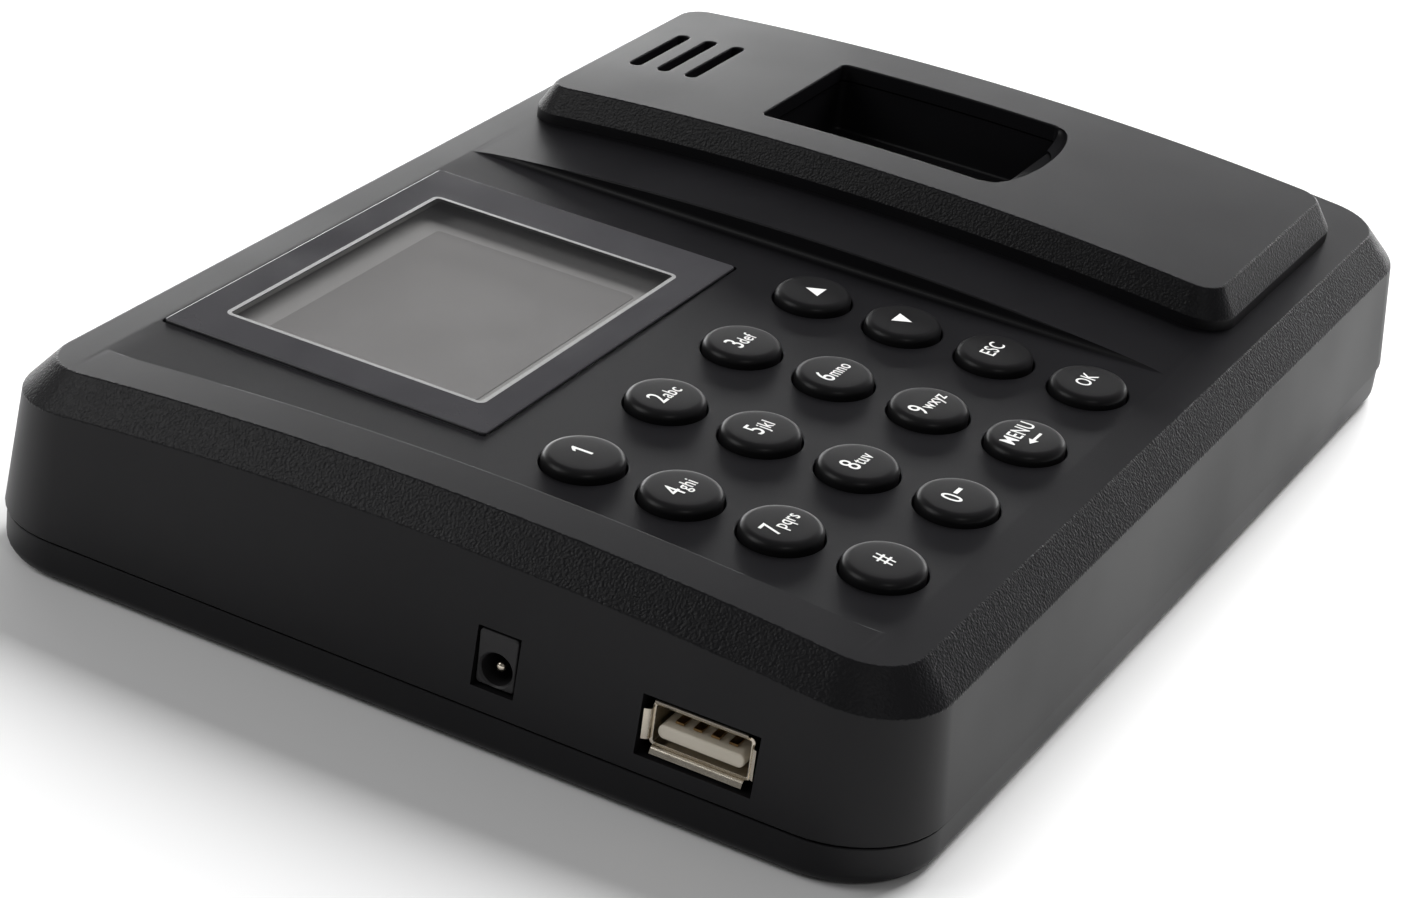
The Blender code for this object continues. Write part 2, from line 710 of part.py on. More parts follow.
def cover_posts():
    bm = bmesh.new()
    for x, y in case_screw_places():
        radius = SCREW_HEAD_RADIUS + CLEARANCE + BOSS_WALL
        cylinder_into(bm, x, y, COVER_SKIN, PARTING_HEIGHT, radius)
    for x, y in main_board_screw_places():
        top = MAIN_BOARD_TOP - BOARD_THICKNESS - CLEARANCE
        radius = SMALL_SCREW_RADIUS + CLEARANCE + BOSS_WALL
        cylinder_into(bm, x, y, COVER_FLOOR / 2, top, radius, HOLE_STEPS)
    return bm


def cover_holes():
    bm = bmesh.new()
    for x, y in case_screw_places():
        depth = SCREW_HEAD_HEIGHT + 2 * CLEARANCE + COVER_SKIN
        cylinder_into(bm, x, y, -OVERRUN, depth, SCREW_HEAD_RADIUS + CLEARANCE)
    return bm


def cover_screw_bores():
    bm = bmesh.new()
    radius = SCREW_RADIUS + CLEARANCE
    small_radius = SMALL_SCREW_RADIUS + CLEARANCE
    for x, y in case_screw_places():
        cylinder_into(bm, x, y, OVERRUN, PARTING_HEIGHT + OVERRUN, radius, HOLE_STEPS)
    for x, y in main_board_screw_places():
        cylinder_into(bm, x, y, COVER_FLOOR - BOSS_ROOT, MAIN_BOARD_TOP, small_radius, HOLE_STEPS)
    return bm


def cover_lip(inset, low, high):
    levels = [(inset, low), (inset, high)]
    return stacked_block((0.0, 0.0), (BODY_WIDTH, BODY_DEPTH), CORNER_RADIUS, levels)


def make_back_cover():
    radius = COVER_EDGE_RADIUS
    levels = []
    for step in range(COVER_EDGE_STEPS + 1):
        angle = math.pi / 2 * step / COVER_EDGE_STEPS
        inset = COVER_INSET + radius * (1 - math.sin(angle))
        levels.append((inset, radius * (1 - math.cos(angle))))
    levels.append((COVER_INSET, PARTING_HEIGHT - CLEARANCE / 2))
    outside = stacked_block((0.0, 0.0), (BODY_WIDTH, BODY_DEPTH), CORNER_RADIUS, levels)
    cover = make_object("back_cover", outside, "case_black")
    lip_top = PARTING_HEIGHT + COVER_LIP_HEIGHT
    lip = cover_lip(COVER_LIP_INSET + COVER_LIP_SEAM, COVER_FLOOR, lip_top)
    add(cover, helper("cover_lip", lip))
    tray = cover_lip(COVER_LIP_INSET + COVER_LIP_WALL, COVER_FLOOR, lip_top + OVERRUN)
    cut(cover, helper("cover_tray", tray))
    add(cover, helper("cover_posts", cover_posts()))
    cut(cover, helper("cover_head_holes", cover_holes()))
    cut(cover, helper("cover_screw_bores", cover_screw_bores()))


def make_screen_window():
    levels = [
        (0.0, SCREEN_Z - SCREEN_THICKNESS),
        (0.0, SCREEN_Z - SCREEN_EDGE),
        (SCREEN_EDGE, SCREEN_Z),
    ]
    size = (SCREEN_WIDTH, SCREEN_DEPTH)
    mesh = stacked_block((SCREEN_X, SCREEN_Y), size, SCREEN_CORNER, levels)
    make_object("screen_window", mesh, "window")


def make_display():
    bottom = DISPLAY_TOP - DISPLAY_THICKNESS
    levels = [(0.0, bottom), (0.0, DISPLAY_TOP)]
    size = (DISPLAY_WIDTH, DISPLAY_DEPTH)
    mesh = stacked_block((DISPLAY_X, SCREEN_Y), size, DISPLAY_CORNER, levels)
    make_object("lcd_panel", mesh, "display")
    grow = 2 * (CLEARANCE + DISPLAY_FRAME_WALL)
    frame_size = (size[0] + grow, size[1] + grow)
    floor_top = bottom - CLEARANCE
    frame_top = CEILING_Z - CLEARANCE
    levels = [(0.0, floor_top - DISPLAY_FRAME_FLOOR), (0.0, frame_top)]
    mesh = stacked_block((DISPLAY_X, SCREEN_Y), frame_size, DISPLAY_FRAME_CORNER, levels)
    frame = make_object("lcd_frame", mesh, "steel")
    levels = [(DISPLAY_FRAME_WALL, floor_top), (DISPLAY_FRAME_WALL, frame_top + OVERRUN)]
    hollow = stacked_block((DISPLAY_X, SCREEN_Y), frame_size, DISPLAY_FRAME_CORNER, levels)
    cut(frame, helper("lcd_frame_hollow", hollow))


def key_profile():
    """Half outline of a key as (share of the cap radius, height), foot to crown."""
    top = POCKET_Z + KEY_RISE
    flange = 1.0 + 2 * KEY_FLANGE / KEY_DEPTH
    edge = 2 * KEY_EDGE_RADIUS / KEY_DEPTH
    foot = FLANGE_TOP - KEY_FLANGE_THICKNESS
    profile = [(0.0, foot), (flange, foot), (flange, FLANGE_TOP), (1.0, FLANGE_TOP)]
    for step in range(KEY_EDGE_STEPS + 1):
        angle = math.pi / 2 * step / KEY_EDGE_STEPS
        share = 1.0 - edge * (1 - math.cos(angle))
        profile.append((share, top - KEY_CROWN - KEY_EDGE_RADIUS * (1 - math.sin(angle))))
    profile.append((0.0, top))
    return profile


def make_keys():
    profile = [(share, z - POCKET_Z) for share, z in key_profile()]
    for name, (x, y) in key_places():
        mesh = turned_mesh(profile, KEY_WIDTH / 2, KEY_DEPTH / 2, KEY_STEPS)
        key = make_object(name, mesh, "key_black")
        key.location = (x, y, POCKET_Z)


def make_key_mat():
    low = (KEY_X0 - MAT_SIDE_MARGIN, KEY_Y0 - MAT_LOW_MARGIN, MAT_TOP - MAT_THICKNESS)
    high = (KEY_X1 + MAT_SIDE_MARGIN, KEY_Y1 + MAT_HIGH_MARGIN, MAT_TOP)
    mat = make_object("keypad_mat", box_mesh(low, high), "silicone")
    bumps = bmesh.new()
    for _, (x, y) in key_places():
        top = MAT_TOP + MAT_BUMP_HEIGHT
        cylinder_into(bumps, x, y, MAT_TOP - MAT_THICKNESS / 2, top, MAT_BUMP_RADIUS, HOLE_STEPS)
    add(mat, helper("mat_bumps", bumps))
    radius = SMALL_SCREW_RADIUS + 2 * CLEARANCE + SMALL_BOSS_WALL
    holes = bmesh.new()
    for x, y in key_screw_places():
        bottom = MAT_TOP - 2 * MAT_THICKNESS
        cylinder_into(holes, x, y, bottom, MAT_TOP + OVERRUN, radius, HOLE_STEPS)
    cut(mat, helper("mat_holes", holes))


def make_key_board():
    bottom = KEY_BOARD_TOP - BOARD_THICKNESS
    low = (KEY_X0 - KEY_BOARD_SIDE_MARGIN, KEY_Y0 - MAT_LOW_MARGIN, bottom)
    high = (KEY_X1 + KEY_BOARD_SIDE_MARGIN, KEY_Y1 + MAT_HIGH_MARGIN, KEY_BOARD_TOP)
    board = make_object("keypad_board", box_mesh(low, high), "board_green")
    radius = SMALL_SCREW_RADIUS + CLEARANCE
    holes = bmesh.new()
    for x, y in key_screw_places():
        top = KEY_BOARD_TOP + OVERRUN
        cylinder_into(holes, x, y, bottom - OVERRUN, top, radius, HOLE_STEPS)
    cut(board, helper("keypad_board_holes", holes))


def screw_mesh(shaft_radius, shaft_length, head_radius, head_height):
    """Pan head with a chamfered rim, head up, its seat at the origin."""
    rim = head_height * HEAD_RIM_SHARE
    profile = [
        (0.0, -shaft_length), (shaft_radius, -shaft_length + shaft_radius), (shaft_radius, 0.0),
        (head_radius, 0.0), (head_radius, head_height - rim),
        (head_radius - rim, head_height), (0.0, head_height),
    ]
    return turned_mesh(profile, steps=HOLE_STEPS)


def make_screw(name, place, flip, sizes):
    """One cross-recess screw. A flipped screw has its head underneath."""
    shaft_radius, shaft_length, head_radius, head_height = sizes
    screw = make_object(name, screw_mesh(*sizes), "steel")
    recess = bmesh.new()
    half = head_radius * RECESS_SHARE
    slot = SLOT_IN_HEAD / 2
    low = head_height * RECESS_DEPTH_SHARE
    high = head_height + OVERRUN
    box_into(recess, (-half, -slot, low), (half, slot, high))
    cross = bmesh.new()
    box_into(cross, (-slot, -half, low), (slot, half, high))
    turn = Matrix.Rotation(math.pi, 4, "X") if flip else Matrix.Identity(4)
    matrix = Matrix.Translation(place) @ turn
    for index, part in enumerate((recess, cross)):
        part.transform(matrix)
        cut(screw, helper(f"{name}_recess_{index}", part))
    screw.matrix_world = matrix


def make_screws():
    sizes = (SCREW_RADIUS, SCREW_LENGTH, SCREW_HEAD_RADIUS, SCREW_HEAD_HEIGHT)
    seat = SCREW_HEAD_HEIGHT + CLEARANCE + COVER_SKIN
    for index, (x, y) in enumerate(case_screw_places(), 1):
        make_screw(f"case_screw_{index}", (x, y, seat), True, sizes)
    sizes = (SMALL_SCREW_RADIUS, SMALL_SCREW_LENGTH, SMALL_HEAD_RADIUS, SMALL_HEAD_HEIGHT)
    seat = MAIN_BOARD_TOP + CLEARANCE
    for index, (x, y) in enumerate(main_board_screw_places(), 1):
        make_screw(f"board_screw_{index}", (x, y, seat), False, sizes)
    seat = KEY_BOARD_TOP - BOARD_THICKNESS - CLEARANCE
    for index, (x, y) in enumerate(key_screw_places(), 1):
        make_screw(f"keypad_screw_{index}", (x, y, seat), True, sizes)
    sizes = (SMALL_SCREW_RADIUS, SENSOR_SCREW_LENGTH, SMALL_HEAD_RADIUS, SMALL_HEAD_HEIGHT)
    seat = ear_top() - HOUSING_EAR_THICKNESS - CLEARANCE
    for index, (x, y) in enumerate(sensor_screw_places(), 1):
        make_screw(f"sensor_screw_{index}", (x, y, seat), True, sizes)


def make_main_board():
    x1 = MAIN_BOARD_X0 + MAIN_BOARD_WIDTH
    y1 = MAIN_BOARD_Y0 + MAIN_BOARD_DEPTH
    bottom = MAIN_BOARD_TOP - BOARD_THICKNESS
    mesh = box_mesh((MAIN_BOARD_X0, MAIN_BOARD_Y0, bottom), (x1, y1, MAIN_BOARD_TOP))
    board = make_object("main_board", mesh, "board_green")
    radius = SMALL_SCREW_RADIUS + CLEARANCE
    holes = bmesh.new()
    for x, y in main_board_screw_places():
        top = MAIN_BOARD_TOP + OVERRUN
        cylinder_into(holes, x, y, bottom - OVERRUN, top, radius, HOLE_STEPS)
    cut(board, helper("main_board_holes", holes))
    z = MAIN_BOARD_TOP + CLEARANCE
    x = (MAIN_BOARD_X0 + x1) / 2
    y = (MAIN_BOARD_Y0 + y1) / 2
    half = CHIP_SIDE / 2
    mesh = box_mesh((x - half, y - half, z), (x + half, y + half, z + CHIP_HEIGHT))
    make_object("processor_chip", mesh, "chip_black")


def make_coin_cell():
    z = MAIN_BOARD_TOP + CLEARANCE
    x = MAIN_BOARD_X0 + CELL_X
    y = MAIN_BOARD_Y0 + MAIN_BOARD_DEPTH - CELL_TOP
    radius = CELL_RADIUS + CLEARANCE
    mesh = cylinder_mesh(x, y, z, z + HOLDER_HEIGHT, radius + HOLDER_WALL)
    holder = make_object("cell_holder", mesh, "cream_plastic")
    hollow = cylinder_mesh(x, y, z + HOLDER_FLOOR, z + HOLDER_HEIGHT + OVERRUN, radius)
    cut(holder, helper("cell_holder_hollow", hollow))
    low = z + HOLDER_FLOOR + CLEARANCE
    make_object("coin_cell", cylinder_mesh(x, y, low, low + CELL_HEIGHT, CELL_RADIUS), "steel")


def usb_mesh(levels):
    """Box-shaped tube along X. Each level is (distance behind the socket's face, growth)."""
    bm = bmesh.new()
    rings = []
    for x, grow in levels:
        half_y = USB_OPENING_WIDTH / 2 + grow
        half_z = USB_OPENING_HEIGHT / 2 + grow
        corners = ((-half_y, -half_z), (half_y, -half_z), (half_y, half_z), (-half_y, half_z))
        place = (SOCKET_FACE_X + x, USB_Y, USB_Z)
        rings.append([bm.verts.new(Vector(place) + Vector((0.0, y, z))) for y, z in corners])
    bm.faces.new(rings[0])
    bm.faces.new(rings[-1][::-1])
    for low, high in zip(rings, rings[1:]):
        for i in range(4):
            j = (i + 1) % 4
            bm.faces.new((low[i], low[j], high[j], high[i]))
    return bm


def make_usb_socket():
    shell = make_object("usb_shell", usb_mesh([(USB_TUBE_START, 0.0), (USB_LENGTH, 0.0)]), "nickel")
    collar = [(0.0, USB_FLARE), (USB_FLARE_FLAT, USB_FLARE)]
    collar += [(USB_FLARE_LENGTH, 0.0), (USB_COLLAR_LENGTH, 0.0)]
    add(shell, helper("usb_collar", usb_mesh(collar)))
    mouth = USB_FLARE - USB_SHEET
    levels = [(-OVERRUN, mouth), (USB_FLARE_FLAT, mouth)]
    levels += [(USB_FLARE_LENGTH, -USB_SHEET), (USB_LENGTH, -USB_SHEET)]
    cut(shell, helper("usb_mouth", usb_mesh(levels)))


def make_usb_tongue():
    x0 = SOCKET_FACE_X + TONGUE_SET_BACK
    x1 = SOCKET_FACE_X + USB_LENGTH + TONGUE_TAIL
    z0 = USB_Z - USB_OPENING_HEIGHT / 2 + USB_SHEET + TONGUE_LIFT
    z1 = z0 + TONGUE_THICKNESS
    half = TONGUE_WIDTH / 2
    mesh = box_mesh((x0, USB_Y - half, z0), (x1, USB_Y + half, z1))
    make_object("usb_tongue", mesh, "cream_plastic")
    low = z1 + CONTACT_LIFT
    high = low + CONTACT_THICKNESS
    root = x1 - CONTACT_ROOT
    strips = bmesh.new()
    for index in range(CONTACT_COUNT):
        y0 = USB_Y + (index - (CONTACT_COUNT - 1) / 2) * CONTACT_PITCH - CONTACT_WIDTH / 2
        first = (x0 + CONTACT_SET_BACK, y0, low)
        box_into(strips, first, (root + CONTACT_ROOT_OVERLAP, y0 + CONTACT_WIDTH, high))
    half = CONTACT_COMB_WIDTH / 2
    mesh = box_mesh((root, USB_Y - half, low), (x1, USB_Y + half, high))
    comb = make_object("usb_contacts", mesh, "gold")
    add(comb, helper("usb_contact_strips", strips))


def make_power_jack():
    x0 = SOCKET_FACE_X
    half = Vector((0.0, JACK_WIDTH / 2, JACK_HEIGHT / 2))
    centre = Vector((x0, JACK_Y, JACK_Z))
    mesh = box_mesh(centre - half, centre + half + Vector((JACK_LENGTH, 0.0, 0.0)))
    body = make_object("dc_jack_body", mesh, "chip_black")
    hole_z = JACK_Z - JACK_HEIGHT / 2 + JACK_HOLE_HEIGHT
    along_x = Matrix.Translation((x0, JACK_Y, hole_z)) @ Matrix.Rotation(math.pi / 2, 4, "Y")
    bore = cylinder_mesh(0.0, 0.0, -OVERRUN, JACK_HOLE_DEPTH, JACK_HOLE_RADIUS)
    bore.transform(along_x)
    cut(body, helper("dc_jack_bore", bore))
    start = JACK_PIN_SET_BACK
    end = JACK_HOLE_DEPTH - CLEARANCE
    tip = JACK_PIN_RADIUS - JACK_PIN_TIP / 2
    profile = [(0.0, start), (tip, start), (JACK_PIN_RADIUS, start + JACK_PIN_TIP)]
    profile += [(JACK_PIN_RADIUS, end), (0.0, end)]
    pin = turned_mesh(profile, steps=HOLE_STEPS)
    pin.transform(along_x)
    make_object("dc_jack_pin", pin, "steel")


def well_bottom():
    return arch(FINGER_CENTRE_Y) + PLATEAU_UNDERSIDE - WELL_DEPTH


def make_sensor_housing():
    centre = (FINGER_X, FINGER_CENTRE_Y)
    size = (FINGER_WIDTH + 2 * HOUSING_WALL, FINGER_DEPTH + 2 * HOUSING_WALL)
    bottom = well_bottom()
    levels = [(0.0, bottom - WELL_FLOOR), (0.0, housing_top)]
    mesh = stacked_block(centre, size, HOUSING_CORNER, levels, straight_steps=ARCH_STEPS // 2)
    housing = make_object("sensor_housing", mesh, "case_black")
    half = HOUSING_EAR_WIDTH / 2
    reach = size[1] / 2 + HOUSING_EAR
    low_z = ear_top() - HOUSING_EAR_THICKNESS
    low = (FINGER_X - half, FINGER_CENTRE_Y - reach, low_z)
    ears = box_mesh(low, (FINGER_X + half, FINGER_CENTRE_Y + reach, ear_top()))
    add(housing, helper("housing_ears", ears))
    levels = [(0.0, bottom), (0.0, FRONT_HEIGHT + PLATEAU_RISE)]
    hollow = stacked_block(centre, (FINGER_WIDTH, FINGER_DEPTH), FINGER_CORNER_RADIUS, levels)
    cut(housing, helper("housing_well", hollow))
    window = (PRISM_WIDTH + 2 * CLEARANCE, PRISM_DEPTH + 2 * CLEARANCE)
    levels = [(0.0, bottom - WELL_FLOOR - OVERRUN), (0.0, bottom + OVERRUN)]
    opening = stacked_block(centre, window, SENSOR_WINDOW_CORNER, levels)
    cut(housing, helper("housing_window", opening))
    radius = SMALL_SCREW_RADIUS + CLEARANCE
    holes = bmesh.new()
    for x, y in sensor_screw_places():
        cylinder_into(holes, x, y, low_z - OVERRUN, ear_top() + OVERRUN, radius, HOLE_STEPS)
    cut(housing, helper("housing_ear_holes", holes))


def prism_bottom():
    return well_bottom() + PRISM_PROUD - PRISM_HEIGHT


def make_sensor():
    centre = (FINGER_X, FINGER_CENTRE_Y)
    top = prism_bottom() + PRISM_HEIGHT
    levels = [(PRISM_TAPER, prism_bottom()), (0.0, top - PRISM_BAND)]
    levels += [(0.0, top - SCREEN_EDGE), (SCREEN_EDGE, top)]
    mesh = stacked_block(centre, (PRISM_WIDTH, PRISM_DEPTH), PRISM_CORNER, levels)
    make_object("sensor_prism", mesh, "sensor_glass")
    size = (FINGER_WIDTH + 2 * HOUSING_WALL, FINGER_DEPTH + 2 * HOUSING_WALL)
    board_top = prism_bottom() - CLEARANCE
    levels = [(0.0, board_top - BOARD_THICKNESS), (0.0, board_top)]
    mesh = stacked_block(centre, size, FINGER_CORNER_RADIUS, levels)
    make_object("sensor_board", mesh, "board_green")


def place_speaker_piece(name, profile, material):
    mesh = turned_mesh(profile)
    mesh.transform(Matrix.Translation((SLOT_X, SLOT_Y, 0.0)))
    make_object(name, mesh, material)


def make_speaker():
    mesh_top = arch(SLOT_Y + SPEAKER_RADIUS) + PLATEAU_UNDERSIDE - CLEARANCE
    half_x = SLOT_LENGTH / 2 + MESH_SIDE_MARGIN
    half_y = SLOT_PITCH * (SLOT_COUNT - 1) / 2 + MESH_END_MARGIN
    low = (SLOT_X - half_x, SLOT_Y - half_y, mesh_top - MESH_THICKNESS)
    mesh = box_mesh(low, (SLOT_X + half_x, SLOT_Y + half_y, mesh_top))
    make_object("speaker_mesh", mesh, "steel")
    rim = SPEAKER_RADIUS
    top = mesh_top - MESH_THICKNESS - CLEARANCE
    bottom = top - SPEAKER_HEIGHT
    dish = top - CONE_DEPTH
    place_speaker_piece("speaker_basket", [
        (0.0, bottom), (rim * 0.62, bottom), (rim * 0.70, top - BASKET_BACK),
        (rim, top - BASKET_RIM), (rim, top), (rim - BASKET_RIM, top),
        (rim - BASKET_RIM, top - BASKET_RIM_DEPTH), (rim * 0.62, dish), (0.0, dish),
    ], "steel")
    low = dish + CLEARANCE
    edge = low + CONE_EDGE_RISE
    place_speaker_piece("speaker_cone", [
        (0.0, low), (rim * 0.55, low), (rim * 0.80, edge), (rim * 0.80, edge + CONE_THICKNESS),
        (rim * 0.40, low + CONE_THICKNESS), (0.0, low + CONE_CAP_RISE),
    ], "cone_black")
    top = bottom - CLEARANCE
    mesh = cylinder_mesh(SLOT_X, SLOT_Y, top - MAGNET_HEIGHT, top, rim * 0.50)
    make_object("speaker_magnet", mesh, "steel")


def strip_mesh(points, width):
    """Flat cable along a path in the XZ plane, with its width along Y."""
    bm = bmesh.new()
    rings = []
    half = CABLE_THICKNESS / 2
    for index, (x, y, z) in enumerate(points):
        before = Vector(points[max(index - 1, 0)])
        after = Vector(points[min(index + 1, len(points) - 1)])
        along = (after - before).normalized()
        normal = Vector((-along.z, 0.0, along.x)) * half
        centre = Vector((x, y, z))
        side = Vector((0.0, width / 2, 0.0))
        ring = [centre - side - normal, centre + side - normal, centre + side + normal]
        ring.append(centre - side + normal)
        rings.append([bm.verts.new(point) for point in ring])
    bm.faces.new(rings[0][::-1])
    bm.faces.new(rings[-1])
    for low, high in zip(rings, rings[1:]):
        for i in range(4):
            j = (i + 1) % 4
            bm.faces.new((low[i], low[j], high[j], high[i]))
    return bm


def make_sensor_cable():
    z = MAIN_BOARD_TOP + CLEARANCE
    y = FINGER_CENTRE_Y - FINGER_DEPTH / 2 + SENSOR_CABLE_INSET
    x = MAIN_BOARD_X0 + MAIN_BOARD_WIDTH - SENSOR_SOCKET_RIGHT
    low = (x - SENSOR_SOCKET_WIDTH, y - SENSOR_SOCKET_DEPTH / 2, z)
    mesh = box_mesh(low, (x, y + SENSOR_SOCKET_DEPTH / 2, z + CABLE_SOCKET_HEIGHT))
    make_object("sensor_socket", mesh, "cream_plastic")
    start = Vector((x + CLEARANCE, y, z + CABLE_SOCKET_HEIGHT / 2))
    board_bottom = prism_bottom() - CLEARANCE - BOARD_THICKNESS
    end_z = board_bottom - CLEARANCE - CABLE_THICKNESS
    end = Vector((FINGER_X - FINGER_WIDTH / 2 + SENSOR_CABLE_REACH, y, end_z))
    points = []
    for step in range(CABLE_STEPS + 1):
        share = step / CABLE_STEPS
        ease = (1 - math.cos(math.pi * share)) / 2
        x = start.x + (end.x - start.x) * share
        points.append((x, y, start.z + (end.z - start.z) * ease))
    make_object("sensor_cable", strip_mesh(points, SENSOR_CABLE_WIDTH), "cable_amber")


def make_display_cable():
    z = MAIN_BOARD_TOP + CLEARANCE
    y = SCREEN_Y - DISPLAY_DEPTH / 2 + DISPLAY_CABLE_UP
    x = MAIN_BOARD_X0 + MAIN_BOARD_WIDTH * DISPLAY_SOCKET_SHARE
    half_x = DISPLAY_SOCKET_WIDTH / 2
    half_y = DISPLAY_SOCKET_DEPTH / 2
    high = (x + half_x, y + half_y, z + CABLE_SOCKET_HEIGHT)
    mesh = box_mesh((x - half_x, y - half_y, z), high)
    make_object("display_socket", mesh, "cream_plastic")
    frame_bottom = DISPLAY_TOP - DISPLAY_THICKNESS - CLEARANCE - DISPLAY_FRAME_FLOOR
    top_z = frame_bottom - CLEARANCE - CABLE_THICKNESS
    bottom_z = z + CABLE_SOCKET_HEIGHT / 2
    centre_z = (top_z + bottom_z) / 2
    radius = (top_z - bottom_z) / 2
    points = [(x - DISPLAY_CABLE_TAIL, y, top_z)]
    for step in range(CABLE_LOOP_STEPS + 1):
        angle = math.pi / 2 - math.pi * step / CABLE_LOOP_STEPS
        across = x + DISPLAY_CABLE_REACH + radius * math.cos(angle)
        points.append((across, y, centre_z + radius * math.sin(angle)))
    points.append((x + half_x + CLEARANCE, y, bottom_z))
    make_object("display_cable", strip_mesh(points, DISPLAY_CABLE_WIDTH), "cable_amber")


def main():
    clear_scene()
    for name, look in MATERIAL_LOOKS.items():
        make_material(name, *look)
    make_front_shell()
    make_back_cover()
    make_screen_window()
    make_display()
    make_keys()
    make_key_mat()
    make_key_board()
    make_main_board()
    make_coin_cell()
    make_usb_socket()
    make_usb_tongue()
    make_power_jack()
    make_sensor_housing()
    make_sensor()
    make_speaker()
    make_sensor_cable()
    make_display_cable()
    make_screws()


main()
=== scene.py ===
"""Looks of a fingerprint attendance terminal that lies on its back cover.

Metres, +Z up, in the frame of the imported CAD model. The case, cover, keys, screen, sockets and sensor
well are rebuilt here as fine meshes around the CAD solids. The boards, cables and cells inside keep
their CAD shape and get their own materials.
"""

import math

import bmesh
import bpy
from mathutils import Matrix, Vector


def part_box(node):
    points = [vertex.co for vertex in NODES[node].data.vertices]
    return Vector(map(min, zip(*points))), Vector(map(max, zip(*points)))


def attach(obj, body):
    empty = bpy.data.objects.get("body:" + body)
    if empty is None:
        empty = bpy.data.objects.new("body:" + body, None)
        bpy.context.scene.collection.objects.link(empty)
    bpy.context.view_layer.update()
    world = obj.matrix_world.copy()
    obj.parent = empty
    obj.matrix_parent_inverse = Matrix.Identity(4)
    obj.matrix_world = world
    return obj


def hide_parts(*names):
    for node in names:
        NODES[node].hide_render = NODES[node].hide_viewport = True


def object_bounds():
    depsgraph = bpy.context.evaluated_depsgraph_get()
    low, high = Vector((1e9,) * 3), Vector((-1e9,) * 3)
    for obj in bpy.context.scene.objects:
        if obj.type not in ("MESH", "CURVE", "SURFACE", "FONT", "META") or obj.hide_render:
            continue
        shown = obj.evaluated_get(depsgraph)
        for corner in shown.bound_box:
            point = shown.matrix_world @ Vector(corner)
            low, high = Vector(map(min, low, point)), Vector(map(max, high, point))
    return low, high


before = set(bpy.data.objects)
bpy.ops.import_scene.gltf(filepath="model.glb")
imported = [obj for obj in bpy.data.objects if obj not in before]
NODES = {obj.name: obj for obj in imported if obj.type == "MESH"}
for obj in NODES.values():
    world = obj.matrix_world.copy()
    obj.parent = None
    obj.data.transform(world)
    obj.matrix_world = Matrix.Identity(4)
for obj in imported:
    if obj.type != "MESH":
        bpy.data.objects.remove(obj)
CAD_LOW, CAD_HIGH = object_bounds()
CASE = "case"

# Case mouldings
ARCH_RADIUS = 0.540
PLATEAU_RISE = 0.0052
CORNER_RADIUS = 0.0131
SIDE_DRAFT = 0.0016
CHAMFER_WIDTH = 0.0040
CHAMFER_HEIGHT = 0.0041
SIDE_WALL = 0.0024
FRONT_THICKNESS = 0.0025
TOP_INSET = 0.0033
SHOULDER_DROP = 0.0060
CLEARANCE = 0.0003
EDGE_RADIUS = 0.0005
FINE_RADIUS = 0.00025

# Flat recess for the screen and the keys
POCKET_DROP = 0.0027
POCKET_LEFT_MARGIN = 0.0128
POCKET_RIGHT_MARGIN = 0.0123
CREASE_RADIUS = 0.0009

# Raised fingerprint module
PLATEAU_WIDTH = 0.0492
PLATEAU_RIGHT_MARGIN = 0.0151
PLATEAU_END_MARGIN = 0.0098
PLATEAU_WALL = 0.0016
PLATEAU_CHAMFER = 0.0023
PLATEAU_CORNER = 0.0058
PLATEAU_THICKNESS = 0.0024
HOUSING_WALL = 0.0024
HOUSING_EAR = 0.0062
WELL_CORNER = 0.0010
WELL_FLOOR = 0.0022
WELL_SEAM = 0.0002
SCOOP_REACH = 0.0042
SCOOP_DEPTH = 0.0034
SLOT_COUNT = 3
SLOT_PITCH = 0.00465
SLOT_WIDTH = 0.0019
MESH_MARGIN = 0.0012
MESH_PITCH = 0.0012
MESH_HOLE_RADIUS = 0.0004
MESH_HOLE_SIDES = 16
WELD_DISTANCE = 0.00001

# Keys and their legends
KEY_FLANGE = 0.0008
KEY_FLANGE_THICKNESS = 0.0010
KEY_HOLE_GAP = 0.00025
KEY_RIM = 0.00105
KEY_CROWN = 0.00010
DIGIT_HEIGHT = 0.0029
LETTER_HEIGHT = 0.0020
WORD_HEIGHT = 0.0022
GLYPH_NARROWING = 0.84
LEGEND_RISE = 0.00003
LEGEND_DEPTH = 0.00010
LEGEND_LIFT = 0.0005
CAPITAL_SHARE = 0.729
LETTER_WEIGHT = 0.000036
LETTER_WEIGHT_LOSS = 0.0108
LETTER_SPACING = 1.06
LEGEND_GAP = 0.0003
BAR_GAP = 0.0005
BAR_WIDTH = 0.0017
BAR_FOOT = 0.0012
BAR_THICKNESS = 0.00055
TRIANGLE_SIDE = 0.0028
TRIANGLE_SLIMNESS = 0.86
ARROW_LENGTH = 0.0036
ARROW_SHAFT = 0.00018
ARROW_HEAD = 0.00065
ARROW_DROP = 0.0014
MENU_LIFT_SHARE = 0.35
